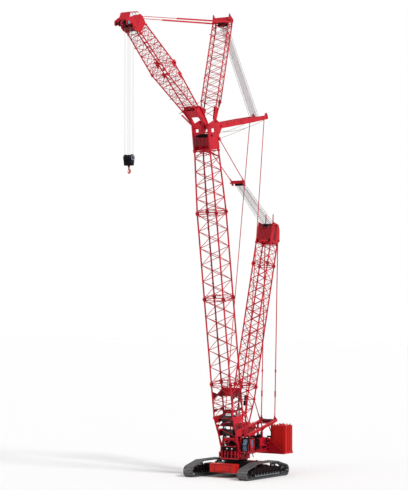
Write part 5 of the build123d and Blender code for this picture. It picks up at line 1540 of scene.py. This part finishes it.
def makeRearStrut(size):
    pivot, tip = onBoom(0, 0.2, 4.432), Vector(crane["rearTip"])
    way, long = (tip - pivot).normalized(), (tip - pivot).length
    lift = Vector((0, -way.z, way.y))

    def onRear(x, above, along):
        return pivot + Vector((x, 0, 0)) + lift * above + way * along

    red = Weldment(onRear)
    bend = long * size["bend"]
    horn = ((0.03, -0.07), (0.03, 0), (0, -0.004), (0.064, -0.02), (0.06, -0.05))
    for x in mirrored(size["x"]):
        for edge in (-1, 1):
            above = size["edge"] * edge
            red.bar((x, above, 0.03), (x, above, bend), 0.026, 0.005)
            red.bar((x, above, bend), (x, size["tipEdge"] * edge, long), 0.026, 0.005)
        for share in (0.15, 0.3, 0.45, 0.6):
            red.bar((x, -0.031, long * share), (x, 0.031, long * share), 0.022, 0.005)
        red.plate([(0, above, long + step) for above, step in horn], x, 0.01)
        red.axle(x * 0.9, x * 1.12, 0, 0, 0.026, 20)
    for share in (0.34, 0.72):
        red.beam(0.1, 0, long * share, 0.012, 0.026)
    for x in mirrored(0.1):
        red.bar((x, 0, long * 0.36), (-x, 0, long * 0.54), 0.008, 0.008)
    red.piece("rearStrutPlates", "boom", "craneRed", 0.001)
    dark = Weldment(onRear)
    middle = sheaveCentre["rear_strut_sheaves"]
    for x in (-0.068, -0.045, -0.023, 0.0, 0.023, 0.045, 0.068):
        spot = middle + Vector((x, 0, 0))
        dark.bar(spot - lift * 0.03, spot + way * 0.032 + lift * 0.004, 0.003, 0.018)
    for side in (-1, 1):
        dark.axle(side * 0.117, side * 0.124, 0, 0, 0.011, 16)
        dark.axle(side * 0.112, side * 0.122, 0, long - 0.028, 0.009, 16)
    ends = [middle - way * 0.034 + Vector((x, 0, 0)) for x in mirrored(0.07)]
    dark.bar(*ends, 0.006, 0.05)
    dark.piece("rearStrutGuards", "boom", "darkFrame", 0.0008)


# slack ropes from the boom head to the rear strut
slackSize = {"radius": 0.0022, "steps": 7}


def slackRope(name, start, end, sag, size):
    # rope hanging slack between two points, drawn through one smooth open spline
    curve = bpy.data.curves.new(name + "Line", "CURVE")
    curve.dimensions = "3D"
    spline = curve.splines.new("NURBS")
    spline.points.add(size["steps"] - 1)
    for index, point in enumerate(spline.points):
        share = index / (size["steps"] - 1)
        place = start.lerp(end, share) - Vector((0, 0, sag * 4 * share * (1 - share)))
        point.co = (*place, 1)
    spline.order_u = 3
    spline.use_endpoint_u = True
    spline.resolution_u = 6
    line = bpy.data.objects.new(name + "Line", curve)
    bpy.context.scene.collection.objects.link(line)
    route = [vertex.co.copy() for vertex in evaluatedMesh(line).vertices]
    piece = rods(name, [route], size["radius"], "deepRed", 8, "boom")


def makeSlackRopes(size):
    tip = Vector(crane["rearTip"])
    for name, x, behind, along, reach, sag in (
        ("slackRopeNear", 0.117, 0.18, 4.35, 0.92, 0.045),
        ("slackRopeMiddle", 0.1, 0.15, 4.262, 0.55, 0.006),
        ("slackRopeFar", -0.117, 0.18, 4.35, 0.92, 0.055),
    ):
        root = onBoom(0, behind, along)
        end = root.lerp(tip, reach) + Vector((x, 0, -0.022))
        slackRope(name, root + Vector((x, 0, 0)), end, sag, size)


# second diagonals and cross tubes of the mast, the jib and the front strut
lacingSize = {
    "mast": ((0.8, 0.121, -0.087, 0.087), (2.54, 0.121, -0.087, 0.087), 16, 0.0028),
    "mastTop": ((2.54, 0.121, -0.087, 0.087), (2.86, 0.121, -0.087, 0.087), 3, 0.0028),
    "jib": ((0.32, 0.112, -0.024, 0.046), (1.1, 0.13, -0.108, 0.108), 9, 0.0021),
    "jibTop": ((1.1, 0.13, -0.108, 0.108), (1.83, 0.104, -0.076, 0.084), 9, 0.0021),
    "strut": ((0.28, 0.13, -0.044, 0.044), (strutLong - 0.06, 0.13, -0.044, 0.044), 12, 0.0024),
}


def makeLacing(size):
    homes = {"mast": (onMast, "upperworks"), "jib": (onJib, "jib"), "strut": (onStrut, "jib_strut")}
    for part, (first, last, panels, radius) in size.items():
        place, body = homes[part.removesuffix("Top")]
        stations = [
            [low + (high - low) * step / panels for low, high in zip(first, last)]
            for step in range(panels + 1)
        ]
        rows = [cornersAt(place, station) for station in stations]
        routes = []
        for step in range(panels):
            for face in range(4):
                ends = (face, (face + 1) % 4) if (face + step) % 2 else ((face + 1) % 4, face)
                routes.append([rows[step][ends[0]], rows[step + 1][ends[1]]])
                if step % 3 == 1:
                    routes.append([rows[step][face], rows[step][(face + 1) % 4]])
        rods(part + "Lacing", routes, radius, "craneRed", 8, body)


makeWinches(buttSize)
makeBoomButt(buttSize)
makeMastBox()
makeMembers(jointSize)
makeBoomHead(headSize)
makeRearStrut(rearSize)
makeSlackRopes(slackSize)
makeLacing(lacingSize)
print("boom, mast box and rear strut dressed")


# mast head: front ribs, covers, sheave cheeks, posts and pins
mastHeadSize = {"half": 0.119, "deep": 0.087, "low": 2.86, "high": 3.142, "ribs": 10}


def makeMastHead(size):
    half, deep, low, high = size["half"], size["deep"], size["low"], size["high"]
    red = Weldment(onMast)
    for x in spread(-half + 0.012, half - 0.012, size["ribs"]):
        red.bar((x, -deep - 0.007, low + 0.03), (x, -deep - 0.007, high - 0.066), 0.006, 0.008)
        red.bar((x, deep + 0.007, low + 0.03), (x, deep + 0.007, high - 0.1), 0.006, 0.008)
    for side in (-1, 1):
        x = side * (half + 0.006)
        red.bar((side * half, -deep - 0.008, low), (side * half, -deep - 0.008, high), 0.02, 0.006)
        red.bar((x, -deep, low + 0.016), (x, deep + 0.004, low + 0.016), 0.006, 0.022)
        red.bar((x, -deep, high - 0.012), (x, 0.04, high - 0.012), 0.006, 0.014)
        red.bar((x, -0.05, low + 0.03), (x, -0.05, high - 0.02), 0.006, 0.01)
        red.bar((x, 0.035, low + 0.03), (x, 0.035, high - 0.03), 0.006, 0.01)
        red.axle(side * half, side * (half + 0.009), 0.109, low + 0.062, 0.02, 20)
        # posts that keep the ropes apart
        red.bar((side * 0.06, 0.0, high - 0.03), (side * 0.06, -0.035, high + 0.13), 0.011, 0.013)
    red.beam(0.06, -0.035, high + 0.128, 0.006, 0.006)
    red.beam(half, 0.06, high - 0.05, 0.012, 0.03)
    red.piece("mastHeadRibs", "upperworks", "craneRed", 0.001)
    # painted shade: the front and side panels of the mast head take the darker deep red, so that they look shaded
    paintedShade = Weldment(onMast)
    paintedShade.bar((0, -deep - 0.003, low + 0.03), (0, -deep - 0.003, high - 0.045), 2 * half - 0.03, 0.006)
    for side in (-1, 1):
        paintedShade.bar(
            (side * (half + 0.004), -0.01, low + 0.03),
            (side * (half + 0.004), -0.01, high - 0.03),
            0.004,
            0.05,
        )
    paintedShade.piece("mastHeadPanels", "upperworks", "deepRed", 0.001)
    light = Weldment(onMast)
    light.beam(half, -deep - 0.0095, low + 0.014, 0.012, 0.024)
    light.piece("mastHeadBand", "upperworks", "weightRed", 0.001)
    dark = Weldment(onMast)
    for x in (-0.098, -0.074, -0.05, -0.026, 0.0, 0.026, 0.05, 0.074, 0.098):
        dark.bar((x, -0.05, high - 0.034), (x, 0.012, high - 0.034), 0.0035, 0.05)
    dark.bar((0, -deep - 0.006, high - 0.1), (0, -deep - 0.006, high - 0.03), 0.075, 0.008)
    for side in (-1, 1):
        dark.axle(side * (half + 0.008), side * (half + 0.013), 0.109, low + 0.062, 0.01, 16)
        dark.axle(side * (half + 0.003), side * (half + 0.01), -0.02, high - 0.034, 0.014, 16)
        dark.bar(
            (side * (half - 0.02), -deep - 0.012, low - 0.012),
            (side * (half - 0.02), -deep - 0.012, low + 0.03),
            0.02,
            0.02,
        )
    dark.piece("mastHeadSheaveCheeks", "upperworks", "blockBlack", 0.0008)


# equalizer on the boom stays
equalizerSize = {"half": 0.094, "sheaves": 8}


def makeEqualizer(size):
    half = size["half"]
    centre = Vector(crane["equalizer"]) + Vector((0, 0.012, -0.014))
    red = Weldment()
    red.box(centre, (half * 2, 0.03, 0.034))
    for edge in (-1, 1):
        red.box(centre + Vector((0, 0, edge * 0.018)), (half * 2, 0.042, 0.005))
    for side in (-1, 1):
        cheek = (
            (-0.03, 0.02), (0.024, 0.02), (0.03, -0.03), (0.02, -0.05), (-0.004, -0.05), (-0.03, -0.012)
        )
        red.plate([centre + Vector((0, *corner)) for corner in cheek], side * half, 0.01)
        red.axle(
            side * (half + 0.004), side * (half + 0.013), centre.y - 0.014, centre.z + 0.014, 0.013, 18
        )
    for x in (-0.06, -0.02, 0.02, 0.06):
        red.box(centre + Vector((x, 0, 0)), (0.005, 0.04, 0.034))
    red.box(centre + Vector((-half - 0.022, 0, -0.01)), (0.03, 0.012, 0.02))
    red.piece("equalizerBeam", "boom", "craneRed", 0.001, ["equalizer"])
    axle = centre + Vector((0.02, 0.018, -0.03))
    places = [axle + Vector((x, 0, 0)) for x in spread(-0.062, 0.0619, size["sheaves"])]
    copies("equalizerSheaves", sheaveShape(0.021, 0.0125), places, "blockBlack", "boom")
    dark = Weldment()
    dark.rod(axle - Vector((0.075, 0, 0)), axle + Vector((0.075, 0, 0)), 0.007, 14)
    for x in (-0.073, 0.0, 0.073):
        dark.box(axle + Vector((x, 0.002, 0.004)), (0.004, 0.036, 0.044))
    dark.box(axle + Vector((0, 0.024, 0.002)), (0.146, 0.003, 0.04))
    dark.piece("equalizerCheeks", "boom", "blockBlack", 0.0008)


# front strut's head: ribbed beam, sheaves, stay pins, cross frames, lamp and stops
strutSize = {"half": 0.13, "deep": 0.044}


def makeStrut(size):
    half, deep, top = size["half"], size["deep"], strutLong
    red = Weldment(onStrut)
    for x in spread(-0.12, 0.12, 9):
        red.bar((x, -0.044, top - 0.045), (x, -0.03, top + 0.026), 0.005, 0.012)
    red.panel(half, (-0.052, top - 0.052), (-0.03, top + 0.03), 0.006)
    red.beam(half, -0.055, top - 0.05, 0.012, 0.024)
    red.beam(half, 0.03, top, 0.01, 0.02)
    for side in (-1, 1):
        x = side * (half + 0.006)
        red.axle(x - side * 0.006, x + side * 0.006, -0.03, top - 0.02, 0.019, 20)
        red.bar((x, -0.058, top + 0.05), (x, 0.045, top + 0.008), 0.014, 0.005)
        red.bar((x, 0.045, top + 0.008), (x, 0.028, top - 0.1), 0.014, 0.005)
    # cross frames below the head and half way down
    for along in (top - 0.1, top - 0.13, top - 0.215, top - 0.34, 0.42):
        for behind in (-deep, deep):
            red.beam(half + 0.006, behind, along, 0.008, 0.011)
        for x in (-half, half):
            red.bar((x, -deep, along), (x, deep, along), 0.008, 0.01)
    for along in spread(0.33, 1.32, 7):
        for behind in (-deep, deep):
            red.beam(half, behind, along, 0.006, 0.006)
    # pivot plates at the foot
    for side in (-1, 1):
        x = side * 0.106
        for face in mirrored(0.0095):
            red.plate([(0, -0.03, 0.02), (0, 0.03, 0.02), (0, 0.05, 0.2), (0, -0.05, 0.2)], x + face, 0.002)
    red.beam(0.108, 0, 0.1, 0.016, 0.022)
    red.beam(0.115, 0, 0.19, 0.012, 0.016)
    red.box((-half - 0.012, -deep, top - 0.215), (0.03, 0.012, 0.012))
    red.piece("strutPlates", "jib_strut", "craneRed", 0.001)
    wheels = [onStrut(x, 0.02, top - 0.06) for x in spread(-0.05, 0.05, 6)]
    copies("strutSheaves", sheaveShape(0.026, 0.012), wheels, "deepRed", "jib_strut")
    dark = Weldment(onStrut)
    dark.axle(-half, half, 0.02, top - 0.06, 0.007, 14)
    for x in (-0.062, 0.0, 0.062):
        dark.bar((x, -0.02, top - 0.062), (x, 0.045, top - 0.062), 0.005, 0.056)
    for side in (-1, 1):
        dark.axle(side * (half + 0.008), side * (half + 0.016), -0.03, top - 0.02, 0.009, 14)
        dark.axle(side * 0.117, side * 0.124, 0, 0, 0.012, 16)
        dark.bar((side * 0.118, 0.03, 0.22), (side * 0.118, 0.03, 0.32), 0.012, 0.014)
    dark.piece("strutSheaveCheeks", "jib_strut", "blockBlack", 0.0008)
    centres = [onStrut(-half - 0.002, -deep, 0.62 + step) for step in (-0.012, -0.009, 0, 0.009, 0.012)]
    rounded(
        taperedRun("strutLamp", centres, [0.002, 0.009, 0.013, 0.009, 0.002], 12), "jib_strut", "craneRed"
    )


# jib: root plates and beams, diaphragms, head covers, cage and discs
jibSize = {
    "half": 0.094,
    "rim": (
        (
            (-0.084, 1.84), (-0.121, 1.936), (-0.121, 1.982), (-0.092, 2.03), (-0.185, 2.087),
            (-0.189, 2.107),
        ),
        ((-0.189, 2.107), (-0.151, 2.137), (-0.058, 2.104), (0.111, 1.979), (0.117, 1.915), (0.096, 1.84)),
    ),
}


def makeJibRoot():
    red = Weldment(onJib)
    for side in (-1, 1):
        x = side * 0.106
        for edge in (-1, 1):
            red.bar(
                (x + side * 0.004, edge * 0.022, 0.03), (x + side * 0.012, edge * 0.07, 0.3), 0.03, 0.005
            )
        red.axle(side * 0.094, side * 0.119, 0, 0, 0.026, 20)
    # closed top plate and its beam
    red.slab(
        [(-0.116, 0.084, 0.3), (0.116, 0.084, 0.3), (0.108, 0.05, 0.19), (-0.108, 0.05, 0.19)],
        (0, -0.004, -0.004),
    )
    red.beam(0.12, 0.086, 0.305, 0.016, 0.014)
    red.beam(0.112, 0.02, 0.15, 0.02, 0.026)
    red.beam(0.12, -0.085, 0.31, 0.014, 0.014)
    # beams across, with lugs
    for along in (0.46, 0.6, 0.82, 0.98, 1.06, 1.14):
        full = 0.1 if along < 1.12 else 0.098
        half = 0.12 + 0.01 * min(1, along)
        red.beam(half, full, along, 0.01, 0.013)
        red.beam(half, -full, along, 0.008, 0.01)
    for side in (-1, 1):
        lug = ((0.06, 1.04), (0.14, 1.07), (0.14, 1.13), (0.06, 1.16))
        red.slab([(side * 0.131, *corner) for corner in lug], (side * 0.005, 0, 0))
        lug = ((0.05, 0.86), (0.11, 0.88), (0.11, 0.94), (0.05, 0.96))
        red.slab([(side * 0.129, *corner) for corner in lug], (side * 0.004, 0, 0))
    red.piece("jibRootPlates", "jib", "craneRed", 0.001)
    lines = []
    for along in (0.35, 0.62, 0.9, 1.2, 1.5, 1.78):
        lines += crossedLines(onJib, *((0.125, 0.095) if along < 1.2 else (0.11, 0.085)), along)
    rods("jibDiaphragms", lines, 0.0036, "deepRed", 8, "jib")
    bends = ((0, 0.11, 0.3), (0, 0.118, 0.98), (0, 0.112, 1.83), (0, 0.04, 2.06))
    secondBends = ((-0.03, 0.11, 0.3), (-0.03, 0.118, 0.98), (-0.03, 0.11, 1.83))
    runs = [[onJib(*bend) for bend in route] for route in (bends, secondBends)]
    rods("jibHoistRopes", runs, 0.002, "ropeSteel", 6, "jib")
    flag = Weldment(onJib)
    flag.box((-0.1, 0.11, 0.99), (0.03, 0.01, 0.045))
    flag.piece("jibLamp", "jib", "weightRed", 0.001)


def makeJibHead(size):
    half = size["half"]
    red = Weldment(onJib)
    for side in (-1, 1):
        x = side * (half + 0.006)
        for edge in size["rim"]:
            for here, there in zip(edge, edge[1:]):
                red.bar((side * half, *here), (side * half, *there), 0.017, 0.004)
        red.bar((x, -0.07, 1.845), (x, 0.09, 1.845), 0.004, 0.016)
        red.bar((x, -0.1, 1.93), (x, 0.08, 1.96), 0.004, 0.01)
    # tapered post over the tip and beams between the plates
    red.bar((0.0, -0.1, 2.1), (0.0, 0.008, 2.128), 0.16, 0.008)
    red.beam(half, -0.02, 2.06, 0.012, 0.02)
    red.beam(half, 0.09, 1.99, 0.012, 0.02)
    for x in (-0.06, 0.06):
        red.bar((x, -0.1, 2.035), (x, -0.15, 2.1), 0.008, 0.012)
    red.axle(-0.012, 0.012, -0.155, 2.095, 0.026, 20)
    red.piece("jibHeadFlanges", "jib", "craneRed", 0.001)
    # painted shade: the covers over the head's lower part take the darker deep red, for the head's dark underside
    paintedShade = Weldment(onJib)
    paintedShade.bar((0, -0.055, 1.85), (0, -0.055, 2.02), 0.175, 0.006)
    paintedShade.bar((0, 0.078, 1.85), (0, 0.094, 1.93), 0.175, 0.005)
    paintedShade.bar((0, -0.128, 1.94), (0, -0.118, 1.985), 0.172, 0.004)
    paintedShade.piece("jibHeadCovers", "jib", "deepRed", 0.001)
    black, grey = Weldment(onJib), Weldment(onJib)
    black.bar((0, -0.148, 2.065), (0, -0.162, 2.118), 0.16, 0.022)
    discs = Weldment(onJib)
    for x in (-0.035, 0.035):
        for face in (-1, 1):
            discs.axle(x + face * 0.0072, x + face * 0.0095, -0.155, 2.095, 0.024, 24)
    for side in (-1, 1):
        black.axle(side * (half + 0.004), side * (half + 0.01), -0.155, 2.095, 0.03, 28)
        grey.axle(side * (half + 0.009), side * (half + 0.014), -0.152, 2.097, 0.022, 28)
        discs.axle(side * (half + 0.013), side * (half + 0.0165), -0.095, 1.96, 0.011, 18)
    discs.piece("jibHeadDiscs", "jib", "sheaveBlue", 0.0008)
    black.piece("jibTipGuards", "jib", "blockBlack", 0.0008)
    grey.piece("jibTipCaps", "jib", "discGrey", 0.0008)
    hoops = []
    hoop = ((0.1, 1.94), (0.135, 1.952), (0.15, 1.985), (0.135, 2.015), (0.08, 2.03))
    for x in (-0.05, 0, 0.05):
        hoops.append([onJib(x, *bend) for bend in hoop])
    for bend in hoop[1:4]:
        hoops.append([onJib(x, *bend) for x in (-0.05, 0.05)])
    rods("jibHeadCage", hoops, 0.003, "craneRed", 8, "jib")


# hook block: round cheeks, covers, weights, trunnion and the hook
hookSize = {"cheekX": 0.052, "radius": 0.044, "axleDrop": 0.045, "bend": 0.022}


def makeHook(size):
    low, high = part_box("hook_block")
    y, top = (low.y + high.y) / 2, high.z
    axle = Vector((0, y, top - size["axleDrop"]))
    radius = size["radius"]
    black, disc, blue = Weldment(), Weldment(), Weldment()
    for side in (-1, 1):
        x = side * (size["cheekX"] + 0.004)
        layers = (
            (black, 0, 0.005, 0.98, 36),
            (disc, 0.004, 0.0075, 0.78, 36),
            (black, 0.006, 0.0095, 0.42, 28),
            (blue, 0.008, 0.0125, 0.27, 6),
            (blue, 0.012, 0.0145, 0.14, 12),
        )
        for weld, inner, outer, share, sides in layers:
            weld.axle(x + side * inner, x + side * outer, axle.y, axle.z, radius * share, sides)
        # lower cheek weights taper to the trunnion
        corners = ((-0.036, -0.07), (0.036, -0.07), (0.026, -0.138), (-0.026, -0.138))
        black.plate([(0, y + shift, top + rise) for shift, rise in corners], side * 0.0335, 0.027)
        black.axle(side * 0.056, side * 0.062, y, top - 0.128, 0.012, 18)
        disc.axle(side * 0.056, side * 0.0585, y - 0.02, top - 0.098, 0.0045, 12)
        disc.axle(side * 0.056, side * 0.0585, y + 0.018, top - 0.108, 0.0035, 12)
    for edge in (-1, 1):
        black.box((0, y + edge * 0.041, top - 0.05), (0.108, 0.004, 0.04))
    for x in (-0.02, 0.02):
        black.rod((x, y - 0.036, top - 0.012), (x, y + 0.036, top - 0.012), 0.004, 12)
    black.piece("hookCheeks", "hook", "blockBlack", 0.0012)
    disc.piece("hookDiscs", "hook", "discGrey", 0.0012)
    blue.piece("hookAxleNuts", "hook", "sheaveBlue", 0.0006)
    wheels = [axle + Vector((x, 0, 0)) for x in sheaveSets["hoist_sheaves"]["places"]]
    copies("hookSheaves", sheaveShape(0.03, 0.014), wheels, "deepRed", "hook")
    nut = Weldment()
    nut.rod((0, y, top - 0.145), (0, y, top - 0.158), 0.0155, 8)
    nut.rod((0, y, top - 0.158), (0, y, top - 0.17), 0.012, 20)
    nut.piece("hookNut", "hook", "deepRed", 0.001)
    centre = Vector((0, y, top - 0.215))
    bend = size["bend"]
    centres = [Vector((0, y, top - drop)) for drop in (0.168, 0.18, 0.19)]
    radii = [0.0085, 0.0095, 0.0105]
    for step in range(17):
        turn = radians(90 - 262 * step / 16)
        centres.append(centre + Vector((0, bend * cos(turn), bend * sin(turn))))
        share = step / 16
        radii.append(0.0115 + 0.002 * sin(pi * share) - 0.0078 * max(0, share - 0.62) / 0.38)
    body = taperedRun("hookBody", centres, radii, 16)
    rounded(body, "hook", "hookOrange", ["load_hook"])
    latch = Weldment()
    latch.bar((0, y - 0.004, top - 0.19), (0, y - 0.021, top - 0.212), 0.008, 0.002)
    latch.axle(-0.006, 0.006, y - 0.004, top - 0.189, 0.003, 10)
    latch.piece("hookLatch", "hook", "rollerSteel", 0.0004)


makeMastHead(mastHeadSize)
makeEqualizer(equalizerSize)
makeStrut(strutSize)
makeJibRoot()
makeJibHead(jibSize)
makeHook(hookSize)
print("heads, jib and hook dressed")
